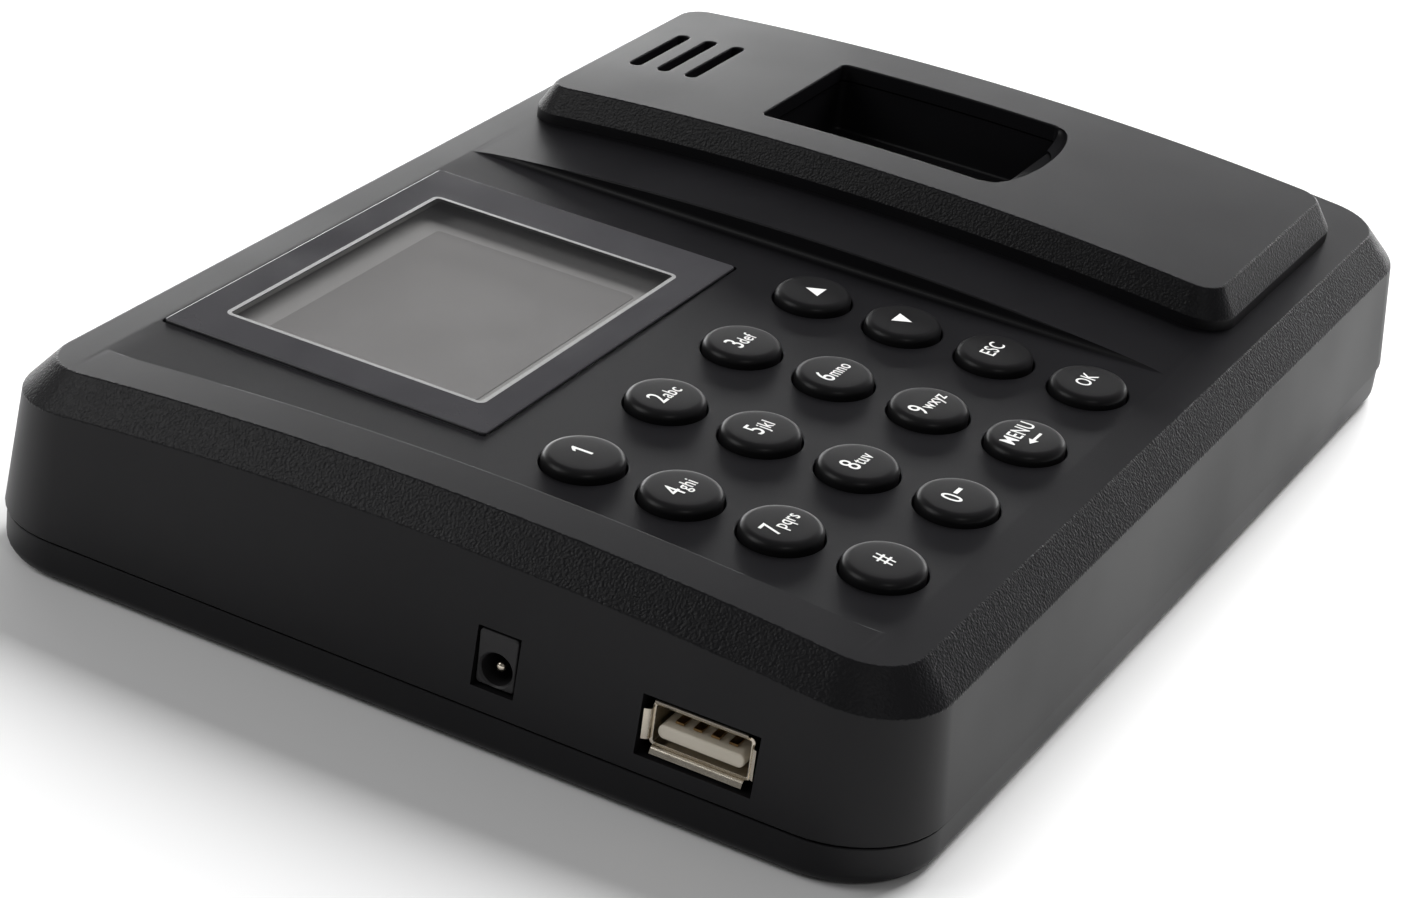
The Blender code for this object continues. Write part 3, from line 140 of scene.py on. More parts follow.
LEGENDS = {
    "key_1": (("1", DIGIT_HEIGHT),),
    "key_2": (("2", DIGIT_HEIGHT), ("abc", LETTER_HEIGHT)),
    "key_3": (("3", DIGIT_HEIGHT), ("def", LETTER_HEIGHT)),
    "key_4": (("4", DIGIT_HEIGHT), ("ghi", LETTER_HEIGHT)),
    "key_5": (("5", DIGIT_HEIGHT), ("jkl", LETTER_HEIGHT)),
    "key_6": (("6", DIGIT_HEIGHT), ("mno", LETTER_HEIGHT)),
    "key_7": (("7", DIGIT_HEIGHT), ("pqrs", LETTER_HEIGHT)),
    "key_8": (("8", DIGIT_HEIGHT), ("tuv", LETTER_HEIGHT)),
    "key_9": (("9", DIGIT_HEIGHT), ("wxyz", LETTER_HEIGHT)),
    "key_0": (("0", DIGIT_HEIGHT), ("-", DIGIT_HEIGHT)),
    "key_hash": (("#", DIGIT_HEIGHT),),
    "key_esc": (("ESC", WORD_HEIGHT),),
    "key_ok": (("OK", WORD_HEIGHT),),
    "key_menu": (("MENU", WORD_HEIGHT),),
}

# Screen
SCREEN_CORNER = 0.0006
SCREEN_EDGE = 0.0002
LINE_MARGIN_LEFT = 0.0068
LINE_MARGIN_RIGHT = 0.0086
LINE_MARGIN_BOTTOM = 0.0046
LINE_MARGIN_TOP = 0.0049
LINE_WIDTH = 0.00058
LINE_CORNER = 0.0008
LINE_RISE = 0.00002
PRINT_DEPTH = 0.00018
ACTIVE_WIDTH = 0.0412
ACTIVE_DEPTH = 0.0312
ACTIVE_FILM = 0.00015
GASKET_WALL = 0.0006

# Sockets
USB_SHEET = 0.0004
USB_FLARE = 0.0009
USB_CORNER = 0.0007
USB_CUTOUT_MARGIN = 0.0010
FLAP_SHEET = 0.0002
FLAP_SHORT = 0.0040
FLAP_LONG = 0.0119
FLAP_ROOT = 0.0012
FLAP_STRAIGHT = 0.0009
FLAP_BEND_RADIUS = 0.0007
FLAP_BEND_ANGLE = 62.0
FLAP_BEND_STEPS = 5
FLAP_TIP = 0.0001
USB_TUBE_START = 0.0010
BAR_EDGE_ANGLES = (0.0, 0.6, 1.1, 1.57)
TONGUE_CORNER = 0.0008
CONTACT_COUNT = 4
CONTACT_PITCH = 0.0023
CONTACT_WIDTH = 0.0011
CONTACT_RISE = 0.00008
JACK_HOLE_RADIUS = 0.0021
JACK_HOLE_DEPTH = 0.0085
JACK_PIN_TIP = 0.0005
PRISM_TAPER_INSET = 0.0035
PRISM_TAPER_DROP = 0.0020

# Cover and screws
COVER_FLOOR = 0.0022
COVER_EDGE = 0.0018
COVER_INSET = 0.0003
COVER_LIP = 0.0029
COVER_LIP_WALL = 0.0012
SCREW_HEAD_GAP = 0.0003
SCREW_BORE = 0.0017
SCREW_HEAD_RISE = 0.62
SCREW_RIM_RISE = 0.35
SCREW_CROWN_INSET = 0.45
THREAD_PITCH = 0.0009
THREAD_CREST = 0.0004
THREAD_ROOT = 0.86
SCREW_TIP_WIDTH = 0.4
SCREW_TIP_LENGTH = 0.6
CROSS_REACH = 0.62
CROSS_HALF_WIDTH = 0.11
CROSS_FOOT = 0.45
SCREW_STEPS = 32
PIN_STEPS = 40
HANGER_PITCH = 0.0820
HANGER_DEPTH = 0.0014
HANGER_HEAD = 0.0038
HANGER_NECK = 0.0019
HANGER_SLIDE = 0.0080
PANEL_WIDTH = 0.0620
PANEL_DEPTH = 0.0360
PANEL_DROP = 0.0003
PANEL_CORNER = 0.0030

OVERSHOOT = 0.001
ARC_STEPS = 12
DOME_STEPS = 6
FILLET_STEPS = 4
ARCH_STEPS = 40
ROUND_STEPS = 72
SHARP_ANGLE = 32.0

CASE_IOR = 1.27
PLASTIC_IOR = 1.45

# Places, all read from the frame
SHELL_LOW, SHELL_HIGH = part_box("front_shell")
FRONT_HEIGHT = SHELL_HIGH.z - PLATEAU_RISE
POCKET_Z = FRONT_HEIGHT - POCKET_DROP
CEILING_Z = POCKET_Z - FRONT_THICKNESS
BODY_SIZE = (SHELL_HIGH.x - SHELL_LOW.x, SHELL_HIGH.y - SHELL_LOW.y)
BODY_CENTRE = ((SHELL_HIGH.x + SHELL_LOW.x) / 2, (SHELL_HIGH.y + SHELL_LOW.y) / 2)
PLATEAU_X1 = SHELL_HIGH.x - PLATEAU_RIGHT_MARGIN
PLATEAU_CENTRE = (PLATEAU_X1 - PLATEAU_WIDTH / 2, BODY_CENTRE[1])
PLATEAU_SIZE = (PLATEAU_WIDTH, BODY_SIZE[1] - 2 * PLATEAU_END_MARGIN)


def middle(node):
    low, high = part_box(node)
    return (low + high) / 2


def footprint(node, grow=0.0):
    """Centre and size of a node seen from above, the size grown on every side."""
    low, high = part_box(node)
    centre = ((low.x + high.x) / 2, (low.y + high.y) / 2)
    return centre, (high.x - low.x + 2 * grow, high.y - low.y + 2 * grow)


def arch(y):
    """Height of the arched front face at this distance from the middle."""
    return FRONT_HEIGHT - ARCH_RADIUS + math.sqrt(ARCH_RADIUS**2 - (y - BODY_CENTRE[1]) ** 2)


def well_opening():
    """Centre and size of the finger opening, from the housing under it."""
    centre, (width, depth) = footprint("sensor_housing", -HOUSING_WALL)
    return centre, (width, depth - 2 * HOUSING_EAR)


def key_cap(node):
    """Centre, half width, half depth and top of a key's cap, without its flange."""
    low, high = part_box(node)
    half_x, half_y = (high.x - low.x) / 2, (high.y - low.y) / 2
    share = (half_y - KEY_FLANGE) / half_y
    return (low + high) / 2, half_x * share, half_y * share, high.z


def key_names():
    return sorted(name for name in NODES if name.startswith("key_"))


# Node materials


class Finish:
    """A Principled material with a few procedural inputs."""

    def __init__(self, name, colour, roughness, metallic=0.0):
        self.material = bpy.data.materials.new(name)
        self.material.use_nodes = True
        self.tree = self.material.node_tree
        self.shader = self.tree.nodes["Principled BSDF"]
        self.shader.inputs["Base Color"].default_value = (*colour, 1.0)
        self.shader.inputs["Roughness"].default_value = roughness
        self.shader.inputs["Metallic"].default_value = metallic
        self.place = self.tree.nodes.new("ShaderNodeTexCoord").outputs["Object"]

    def link(self, source, target):
        self.tree.links.new(source, target)

    def noise(self, scale, detail=3.0, roughness=0.55, distortion=0.0, stretch=None):
        node = self.tree.nodes.new("ShaderNodeTexNoise")
        node.inputs["Scale"].default_value = scale
        node.inputs["Detail"].default_value = detail
        node.inputs["Roughness"].default_value = roughness
        node.inputs["Distortion"].default_value = distortion
        self.link(self.stretched(stretch), node.inputs["Vector"])
        return node.outputs["Fac"]

    def stretched(self, stretch):
        if stretch is None:
            return self.place
        mapping = self.tree.nodes.new("ShaderNodeMapping")
        mapping.inputs["Scale"].default_value = stretch
        self.link(self.place, mapping.inputs["Vector"])
        return mapping.outputs["Vector"]

    def cells(self, scale):
        node = self.tree.nodes.new("ShaderNodeTexVoronoi")
        node.feature = "SMOOTH_F1"
        node.inputs["Scale"].default_value = scale
        self.link(self.place, node.inputs["Vector"])
        return node.outputs["Distance"]

    def ranged(self, source, low, high, start=0.35, end=0.65):
        node = self.tree.nodes.new("ShaderNodeMapRange")
        node.inputs["From Min"].default_value = start
        node.inputs["From Max"].default_value = end
        node.inputs["To Min"].default_value = low
        node.inputs["To Max"].default_value = high
        self.link(source, node.inputs["Value"])
        return node.outputs["Result"]

    def blend(self, factor, first, second):
        """Colour between two, which are colours or sockets."""
        node = self.tree.nodes.new("ShaderNodeMix")
        node.data_type = "RGBA"
        self.link(factor, node.inputs["Factor"])
        for value, socket in ((first, node.inputs[6]), (second, node.inputs[7])):
            if isinstance(value, tuple):
                socket.default_value = (*value, 1.0)
            else:
                self.link(value, socket)
        return node.outputs[2]

    def colour(self, socket):
        self.link(socket, self.shader.inputs["Base Color"])

    def drift(self, scale, detail, first, second):
        """Base colour that wanders between two tones."""
        self.colour(self.blend(self.ranged(self.noise(scale, detail), 0.0, 1.0), first, second))

    def roughness(self, socket):
        self.link(socket, self.shader.inputs["Roughness"])

    def bump(self, height, distance, strength=1.0, below=None):
        node = self.tree.nodes.new("ShaderNodeBump")
        node.inputs["Strength"].default_value = strength
        node.inputs["Distance"].default_value = distance
        self.link(height, node.inputs["Height"])
        if below is not None:
            self.link(below, node.inputs["Normal"])
        self.link(node.outputs["Normal"], self.shader.inputs["Normal"])
        return node.outputs["Normal"]

    def set(self, **values):
        for name, value in values.items():
            self.shader.inputs[name.replace("_", " ")].default_value = value
        return self


def moulded_plastic(name, dark, light, roughness, grain, depth, ior=PLASTIC_IOR):
    """Fine-grained moulding: slight colour drift, uneven gloss and an even grain."""
    finish = Finish(name, dark, roughness)
    finish.drift(55.0, 4.0, dark, light)
    smear = finish.noise(30.0, 2.0, 0.5)
    finish.roughness(finish.ranged(smear, roughness - 0.03, roughness + 0.05))
    waves = finish.bump(finish.noise(22.0, 1.0), 0.00006, 0.35)
    finish.bump(finish.noise(grain, 2.0, 0.7), depth, 0.8, waves)
    return finish.set(IOR=ior)


def grained_plastic(name, dark, light, roughness, scale, depth):
    """Spark-eroded texture: small irregular facets that catch the light."""
    finish = Finish(name, dark, roughness)
    finish.drift(60.0, 4.0, dark, light)
    facets = finish.noise(scale, 3.0, 0.65)
    finish.roughness(finish.ranged(facets, roughness - 0.08, roughness + 0.10))
    cells = finish.bump(finish.cells(scale * 0.8), depth * 1.3, 0.9)
    finish.bump(facets, depth, 1.0, cells)
    return finish.set(IOR=CASE_IOR)


def brushed_metal(name, colour, tint, roughness, stretch, depth=0.00002, spread=0.08):
    finish = Finish(name, colour, roughness, 1.0)
    finish.drift(260.0, 4.0, colour, tint)
    lines = finish.noise(900.0, 3.0, 0.6, 0.0, stretch)
    finish.roughness(finish.ranged(lines, roughness - spread, roughness + 1.5 * spread))
    finish.bump(lines, depth, 0.5)
    return finish


def printed_ink(name, colour, worn, roughness):
    finish = Finish(name, colour, roughness)
    wear = finish.ranged(finish.noise(1400.0, 4.0), 0.0, 1.0, 0.3, 0.75)
    finish.colour(finish.blend(wear, colour, worn))
    finish.bump(finish.noise(5200.0, 2.0), 0.00001, 0.6)
    return finish


def board_laminate():
    """Solder mask over copper tracks, with a slow drift in tone."""
    finish = Finish("board_laminate", (0.014, 0.105, 0.050), 0.42)
    tracks = finish.tree.nodes.new("ShaderNodeTexBrick")
    tracks.inputs["Scale"].default_value = 1.0
    tracks.inputs["Brick Width"].default_value = 0.0115
    tracks.inputs["Row Height"].default_value = 0.0014
    tracks.inputs["Mortar Size"].default_value = 0.00028
    tracks.inputs["Mortar Smooth"].default_value = 0.25
    finish.link(finish.place, tracks.inputs["Vector"])
    copper = finish.blend(tracks.outputs["Fac"], (0.012, 0.095, 0.045), (0.030, 0.190, 0.080))
    drift = finish.ranged(finish.noise(90.0, 4.0), 0.0, 0.5)
    finish.colour(finish.blend(drift, copper, (0.010, 0.070, 0.040)))
    finish.roughness(finish.ranged(finish.noise(300.0), 0.34, 0.50))
    finish.bump(tracks.outputs["Fac"], 0.00003, 0.6)
    return finish


def clear_pane():
    """Smoked window: see-through, with the same gloss as the printed border."""
    finish = Finish("smoked_window", (0.020, 0.020, 0.022), 0.10)
    finish.set(Alpha=0.24, IOR=2.0)
    finish.roughness(finish.ranged(finish.noise(60.0, 5.0, 0.6, 0.8), 0.07, 0.14))
    finish.bump(finish.noise(35.0, 2.0), 0.00003, 0.2)
    return finish


def glossy_border():
    finish = Finish("window_print", (0.040, 0.039, 0.043), 0.14)
    finish.drift(70.0, 4.0, (0.036, 0.035, 0.039), (0.044, 0.043, 0.047))
    finish.roughness(finish.ranged(finish.noise(60.0, 5.0, 0.6, 0.8), 0.11, 0.20))
    finish.bump(finish.noise(35.0, 2.0), 0.00003, 0.2)
    return finish


def display_film(name, colour, tint, grid):
    """Polariser over the cells of the display: a faint regular grid under a satin film."""
    finish = Finish(name, colour, 0.34)
    cells = finish.tree.nodes.new("ShaderNodeTexBrick")
    cells.offset = 0.0
    cells.inputs["Scale"].default_value = 1.0
    cells.inputs["Brick Width"].default_value = 0.00018
    cells.inputs["Row Height"].default_value = 0.00018
    cells.inputs["Mortar Size"].default_value = 0.00002
    finish.link(finish.place, cells.inputs["Vector"])
    drift = finish.blend(finish.ranged(finish.noise(22.0, 3.0), 0.0, 1.0), colour, tint)
    darker = tuple(channel * grid for channel in colour)
    finish.colour(finish.blend(cells.outputs["Fac"], drift, darker))
    finish.roughness(finish.ranged(finish.noise(120.0), 0.28, 0.40))
    return finish


def sensor_glass():
    finish = Finish("sensor_glass_surface", (0.036, 0.036, 0.042), 0.12)
    finish.set(Coat_Weight=0.5, Coat_Roughness=0.05)
    finish.drift(80.0, 3.0, (0.030, 0.031, 0.036), (0.044, 0.042, 0.050))
    finish.roughness(finish.ranged(finish.noise(420.0, 5.0, 0.65, 1.5), 0.08, 0.26))
    return finish


def pale_floor():
    finish = Finish("pale_floor", (0.91, 0.91, 0.91), 0.62)
    finish.drift(3.0, 3.0, (0.905, 0.905, 0.91), (0.92, 0.918, 0.915))
    return finish


# Finish of each record slot or scene piece: maker, material name, two tones, then the maker's numbers
FINISH_ROWS = (
    ("case_smooth", moulded_plastic, "case_smooth", (0.0066, 0.0064, 0.0074), (0.0082, 0.0080, 0.0091),
     0.39, 5200.0, 0.000008, CASE_IOR),
    ("case_grain", grained_plastic, "case_grain", (0.0058, 0.0057, 0.0066), (0.0080, 0.0078, 0.0088),
     0.36, 3600.0, 0.00006),
    # case_inner: the case plastic made darker for the hollows and inside faces, as painted shade
    ("case_inner", moulded_plastic, "case_inner", (0.0045, 0.0045, 0.0050), (0.0062, 0.0060, 0.0066),
     0.50, 3600.0, 0.00002, CASE_IOR),
    ("key_black", moulded_plastic, "key_cap_plastic", (0.0084, 0.0082, 0.0088), (0.0100, 0.0098, 0.0104),
     0.34, 6500.0, 0.000006, CASE_IOR),
    ("legend", printed_ink, "legend_ink", (0.82, 0.82, 0.80), (0.70, 0.70, 0.69),
     0.50),
    ("line", printed_ink, "screen_line_ink", (0.29, 0.29, 0.29), (0.24, 0.24, 0.24),
     0.40),
    ("display", display_film, "display_active", (0.395, 0.385, 0.38), (0.44, 0.43, 0.425),
     0.90),
    # display border: a pale surround whose tone is raised above the real one, as painted light over the
    # shade that the printed window border casts
    ("display_rim", display_film, "display_border", (0.56, 0.55, 0.54), (0.62, 0.61, 0.60),
     0.97),
    # gasket: near-white tone, painted light over the shade under the printed window border
    ("gasket", moulded_plastic, "foam_gasket", (0.84, 0.83, 0.82), (0.90, 0.89, 0.88),
     0.75, 2400.0, 0.00003),
    ("steel", brushed_metal, "steel_plate", (0.52, 0.51, 0.49), (0.62, 0.61, 0.59),
     0.32, (1.0, 14.0, 1.0)),
    ("nickel", brushed_metal, "nickel_plate", (0.66, 0.59, 0.49), (0.74, 0.68, 0.58),
     0.24, (8.0, 1.0, 1.0), 0.0000004, 0.02),
    ("cream_plastic", moulded_plastic, "cream_insulator", (0.58, 0.53, 0.44), (0.66, 0.61, 0.52),
     0.42, 4200.0, 0.000012),
    ("gold", brushed_metal, "contact_gold", (0.34, 0.21, 0.10), (0.46, 0.30, 0.14),
     0.32, (6.0, 1.0, 1.0), 0.000001, 0.04),
    ("silicone", moulded_plastic, "silicone_mat", (0.30, 0.31, 0.32), (0.36, 0.37, 0.38),
     0.70, 2600.0, 0.00002),
    ("chip_black", moulded_plastic, "moulding_compound", (0.008, 0.008, 0.009), (0.013, 0.012, 0.013),
     0.52, 3800.0, 0.00002),
    ("cable_amber", moulded_plastic, "polyimide_film", (0.40, 0.17, 0.035), (0.52, 0.24, 0.050),
     0.36, 1500.0, 0.00001),
    ("cone_black", moulded_plastic, "speaker_paper", (0.022, 0.021, 0.020), (0.036, 0.034, 0.032),
     0.88, 1800.0, 0.00005),
)
FINISHES = {key: maker(*values) for key, maker, *values in FINISH_ROWS}
FINISHES["window"] = clear_pane()
FINISHES["border"] = glossy_border()
FINISHES["board_green"] = board_laminate()
FINISHES["sensor_glass"] = sensor_glass()
FINISHES["floor"] = pale_floor()
# INNER faces line the hollows and get the darker case_inner plastic, which is painted shade
SMOOTH, GRAIN, INNER = 0, 1, 2
CASE_FINISHES = ("case_smooth", "case_grain", "case_inner")


# Mesh tools


def fillet(before, corner, after, radius, steps=FILLET_STEPS):
    """Points of the arc that rounds one corner of a profile."""
    corner = Vector(corner)
    back = (Vector(before) - corner).normalized()
    ahead = (Vector(after) - corner).normalized()
    half = back.angle(ahead) / 2
    centre = corner + (back + ahead).normalized() * radius / math.sin(half)
    start = corner + back * radius / math.tan(half) - centre
    side = 1.0 if back.x * ahead.y - back.y * ahead.x < 0 else -1.0
    points = []
    for step in range(steps + 1):
        angle = side * (math.pi - 2 * half) * step / steps
        points.append(tuple(centre + Matrix.Rotation(angle, 2) @ start))
    return points


def band(points, base=None, material=SMOOTH):
    """Levels of a loft. Their heights stand on base(y), where one is given."""
    if base is None:
        return [(inset, z, material) for inset, z in points]
    return [(inset, lambda y, z=z: base(y) + z, material) for inset, z in points]


def side_points(half_x, half_y, radius, splits):
    """Right half of a rounded rectangle, its straight run split to follow an arch."""
    points = []
    for corner, start in ((-1, -90.0), (1, 0.0)):
        for step in range(ARC_STEPS + 1):
            angle = math.radians(start + 90.0 * step / ARC_STEPS)
            x = half_x - radius + radius * math.cos(angle)
            points.append((x, corner * (half_y - radius) + radius * math.sin(angle)))
    half = len(points) // 2
    run = points[half][1] - points[half - 1][1]
    if run < FINE_RADIUS / 100:
        return points[:half] + points[half + 1:]
    straight = [(half_x, points[half - 1][1] + run * i / splits) for i in range(1, splits)]
    return points[:half] + straight + points[half:]


def loft(centre, size, radius, levels, splits=1):
    """Solid through rounded rectangles, bottom first, each level (inset, height, material above)."""
    bm = bmesh.new()
    rings = []
    for inset, height, _ in levels:
        corner = max(radius - inset, FINE_RADIUS)
        right, left = [], []
        for x, y in side_points(size[0] / 2 - inset, size[1] / 2 - inset, corner, splits):
            z = height(centre[1] + y) if callable(height) else height
            right.append(bm.verts.new((centre[0] + x, centre[1] + y, z)))
            left.append(bm.verts.new((centre[0] - x, centre[1] + y, z)))
        rings.append(right + left[::-1])
    count = len(rings[0])
    for low, high, level in zip(rings, rings[1:], levels):
        for i in range(count):
            j = (i + 1) % count
            face = bm.faces.new((low[i], low[j], high[j], high[i]))
            face.material_index = level[2]
    for ring in (rings[0], rings[-1]):
        for i in range(count // 2 - 1):
            bm.faces.new((ring[i], ring[i + 1], ring[count - 2 - i], ring[count - 1 - i]))
    return bm


def turned(profile, half_x=1.0, half_y=1.0, steps=ROUND_STEPS):
    """Solid of revolution about Z, (radius, height) from axis to axis, scaled to an ellipse."""
    bm = bmesh.new()
    rings = []
    for radius, z in profile:
        if radius == 0.0:
            rings.append([bm.verts.new((0.0, 0.0, z))])
            continue
        ring = []
        for step in range(steps):
            angle = 2 * math.pi * step / steps
            x, y = half_x * radius * math.cos(angle), half_y * radius * math.sin(angle)
            ring.append(bm.verts.new((x, y, z)))
        rings.append(ring)
    for low, high in zip(rings, rings[1:]):
        for i in range(steps):
            j = (i + 1) % steps
            corners = (low[i % len(low)], low[j % len(low)], high[j % len(high)], high[i % len(high)])
            bm.faces.new(list(dict.fromkeys(corners)))
    return bm


def block(low, high):
    bm = bmesh.new()
    centre = (Vector(low) + Vector(high)) / 2
    matrix = Matrix.Translation(centre) @ Matrix.Diagonal((*(Vector(high) - Vector(low)), 1.0))
    bmesh.ops.create_cube(bm, size=1.0, matrix=matrix)
    return bm


def moved(bm, matrix):
    bm.transform(matrix)
    return bm


def shifted(bm, x, y=0.0, z=0.0):
    return moved(bm, Matrix.Translation((x, y, z)))


def gathered(shapes):
    """One bmesh with the faces of all the given ones, which are freed."""
    bm = bmesh.new()
    mesh = bpy.data.meshes.new("gathered")
    for shape in shapes:
        shape.to_mesh(mesh)
        shape.free()
        bm.from_mesh(mesh)
    bpy.data.meshes.remove(mesh)
    return bm


def coloured(bm, material):
    for face in bm.faces:
        face.material_index = material
    return bm


def raw_object(name, bm, finishes):
    """Turn a bmesh into an object whose faces point out."""
    bmesh.ops.recalc_face_normals(bm, faces=bm.faces)
    if bm.calc_volume(signed=True) < 0.0:
        bmesh.ops.reverse_faces(bm, faces=bm.faces)
    mesh = bpy.data.meshes.new(name)
    bm.to_mesh(mesh)
    bm.free()
    for finish in finishes:
        mesh.materials.append(FINISHES[finish].material)
    obj = bpy.data.objects.new(name, mesh)
    bpy.context.scene.collection.objects.link(obj)
    return obj


def make_piece(name, bm, finishes, changes=()):
    """Bake a solid, with (operation, other solid) changes, into one smoothly shaded object."""
    obj = raw_object(name, bm, finishes)
    tools = []
    for index, (operation, other) in enumerate(changes):
        tools.append(raw_object(f"{name}_tool_{index}", other, finishes))
        modifier = obj.modifiers.new(operation, "BOOLEAN")
        modifier.operation = operation
        modifier.object = tools[-1]
        modifier.solver = "EXACT"
    if tools:
        bpy.context.view_layer.update()
        graph = bpy.context.evaluated_depsgraph_get()
        baked = bpy.data.meshes.new_from_object(obj.evaluated_get(graph))
        obj.modifiers.clear()
        unchanged = obj.data
        obj.data = baked
        bpy.data.meshes.remove(unchanged)
    for tool in tools:
        bpy.data.meshes.remove(tool.data)
    obj.data.shade_smooth()
    obj.data.set_sharp_from_angle(angle=math.radians(SHARP_ANGLE))
    weighted = obj.modifiers.new("weighted_normals", "WEIGHTED_NORMAL")
    weighted.keep_sharp = True
    return obj


def fit_in(piece, body, slot, *nodes):
    """Tie a piece to its body and hide the CAD nodes that it stands for. The finish slot is not used."""
    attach(piece, body)
    if nodes:
        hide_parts(*nodes)
    return piece


# Case


def body_block():
    foot = SHELL_LOW.z
    wall = (0.0, foot - FRONT_HEIGHT)
    shoulder = (SIDE_DRAFT, -CHAMFER_HEIGHT)
    rim = (SIDE_DRAFT + CHAMFER_WIDTH, 0.0)
    inside = (rim[0] + CHAMFER_WIDTH, 0.0)
    levels = band(fillet((CHAMFER_WIDTH, foot), (0.0, foot), (0.0, FRONT_HEIGHT), FINE_RADIUS))
    levels += band(fillet(wall, shoulder, rim, EDGE_RADIUS), arch, GRAIN)
    levels += band(fillet(shoulder, rim, inside, EDGE_RADIUS), arch, GRAIN)
    return loft(BODY_CENTRE, BODY_SIZE, CORNER_RADIUS, levels, ARCH_STEPS)


def plateau_block():
    edge = (0.0, PLATEAU_WALL)
    rim = (PLATEAU_CHAMFER, PLATEAU_RISE)
    inside = (2 * PLATEAU_CHAMFER, PLATEAU_RISE)
    levels = band([(0.0, CEILING_Z - FRONT_THICKNESS / 2)])
    levels += band(fillet((0.0, 0.0), edge, rim, EDGE_RADIUS / 2), arch, GRAIN)
    levels += band(fillet(edge, rim, inside, EDGE_RADIUS), arch, GRAIN)
    return loft(PLATEAU_CENTRE, PLATEAU_SIZE, PLATEAU_CORNER, levels, ARCH_STEPS)


def pocket_shape():
    """Cutter of the flat recess, with a soft crease at its foot and a rounded upper edge."""
    x0 = SHELL_LOW.x + POCKET_LEFT_MARGIN
    x1 = middle("key_up").x + POCKET_RIGHT_MARGIN
    size = (x1 - x0, 2 * BODY_SIZE[1])
    floor = (CREASE_RADIUS * 2, POCKET_Z)
    foot = fillet(floor, (0.0, POCKET_Z), (0.0, FRONT_HEIGHT), CREASE_RADIUS)
    upper = flare(FINE_RADIUS)
    lowest = POCKET_Z + CREASE_RADIUS + 2 * FINE_RADIUS

    def surface(y):
        return max(arch(y), lowest) if abs(y) < ARCH_RADIUS else lowest

    levels = band(foot) + band(upper, surface)
    return loft(((x0 + x1) / 2, BODY_CENTRE[1]), size, FINE_RADIUS, levels, 2 * ARCH_STEPS)


def flare(radius, rise=0.010):
    """End of a cutter's wall that rounds the edge of the hole it cuts, as (inset, height)."""
    points = []
    for step in range(FILLET_STEPS + 1):
        angle = math.pi / 2 * step / FILLET_STEPS
        points.append((-radius * (1 - math.cos(angle)), -radius * (1 - math.sin(angle))))
    return points + [(-radius, rise)]


def body_cavity():
    levels = band([
        (SIDE_WALL, SHELL_LOW.z - OVERSHOOT),
        (SIDE_WALL + SIDE_DRAFT, CEILING_Z - SHOULDER_DROP),
        (SIDE_WALL + SIDE_DRAFT + TOP_INSET, CEILING_Z),
    ], None, INNER)
    return coloured(loft(BODY_CENTRE, BODY_SIZE, CORNER_RADIUS, levels), INNER)


def plateau_cavity():
    inset = PLATEAU_THICKNESS + WELL_SEAM
    top = PLATEAU_RISE - PLATEAU_THICKNESS
    levels = band([(inset, CEILING_Z - PLATEAU_THICKNESS)])
    levels += band([(inset, top - PLATEAU_CHAMFER), (inset + PLATEAU_CHAMFER, top)], arch)
    return coloured(loft(PLATEAU_CENTRE, PLATEAU_SIZE, PLATEAU_CORNER, levels, ARCH_STEPS), INNER)


def key_holes():
    """Elliptical holes whose upper edges are rounded."""
    holes = []
    for name in key_names():
        centre, half_x, half_y, _ = key_cap(name)
        half_x += KEY_HOLE_GAP
        half_y += KEY_HOLE_GAP
        profile = [(0.0, CEILING_Z - FRONT_THICKNESS), (1.0, CEILING_Z - FRONT_THICKNESS)]
        profile += [(1.0 - inset / half_y, POCKET_Z + z) for inset, z in flare(FINE_RADIUS, OVERSHOOT)]
        profile.append((0.0, POCKET_Z + OVERSHOOT))
        hole = turned(profile, half_x, half_y)
        holes.append(shifted(hole, centre.x, centre.y))
    return gathered(holes)


def screen_recess():
    centre, size = footprint("screen_window", CLEARANCE)
    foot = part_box("screen_window")[0].z - CLEARANCE
    levels = band([(0.0, foot), (0.0, POCKET_Z + FRONT_THICKNESS)])
    return loft(centre, size, SCREEN_CORNER, levels)


def display_opening():
    centre, size = footprint("lcd_panel", CLEARANCE)
    levels = band([(0.0, CEILING_Z - FRONT_THICKNESS), (0.0, POCKET_Z + FINE_RADIUS)])
    return coloured(loft(centre, size, SCREEN_CORNER, levels), INNER)


def plateau_top(y):
    return arch(y) + PLATEAU_RISE


def finger_opening():
    centre, size = well_opening()
    levels = band([(0.0, CEILING_Z - PLATEAU_RISE)]) + band(flare(EDGE_RADIUS / 2), plateau_top)
    return loft(centre, size, WELL_CORNER, levels, ARCH_STEPS)


def finger_scoop():
    """Shallow hollow in front of the opening that guides a fingertip in."""
    centre, size = well_opening()
    y = centre[1] - size[1] / 2 + WELL_SEAM
    bm = bmesh.new()
    bmesh.ops.create_uvsphere(bm, u_segments=96, v_segments=48, radius=1.0)
    scale = Matrix.Diagonal((size[0] / 2 - WELL_SEAM, SCOOP_REACH, SCOOP_DEPTH, 1.0))
    bm.transform(Matrix.Translation((centre[0], y, plateau_top(y))) @ scale)
    return bm


def speaker_slots():
    (x, middle_y), (width, _) = footprint("speaker_mesh", -MESH_MARGIN)
    levels = band([(0.0, FRONT_HEIGHT - PLATEAU_THICKNESS)]) + band(flare(FINE_RADIUS), plateau_top)
    slots = []
    for index in range(SLOT_COUNT):
        y = middle_y + (index - (SLOT_COUNT - 1) / 2) * SLOT_PITCH
        slots.append(loft((x, y), (width, SLOT_WIDTH), SLOT_WIDTH / 2, levels, 2))
    return gathered(slots)


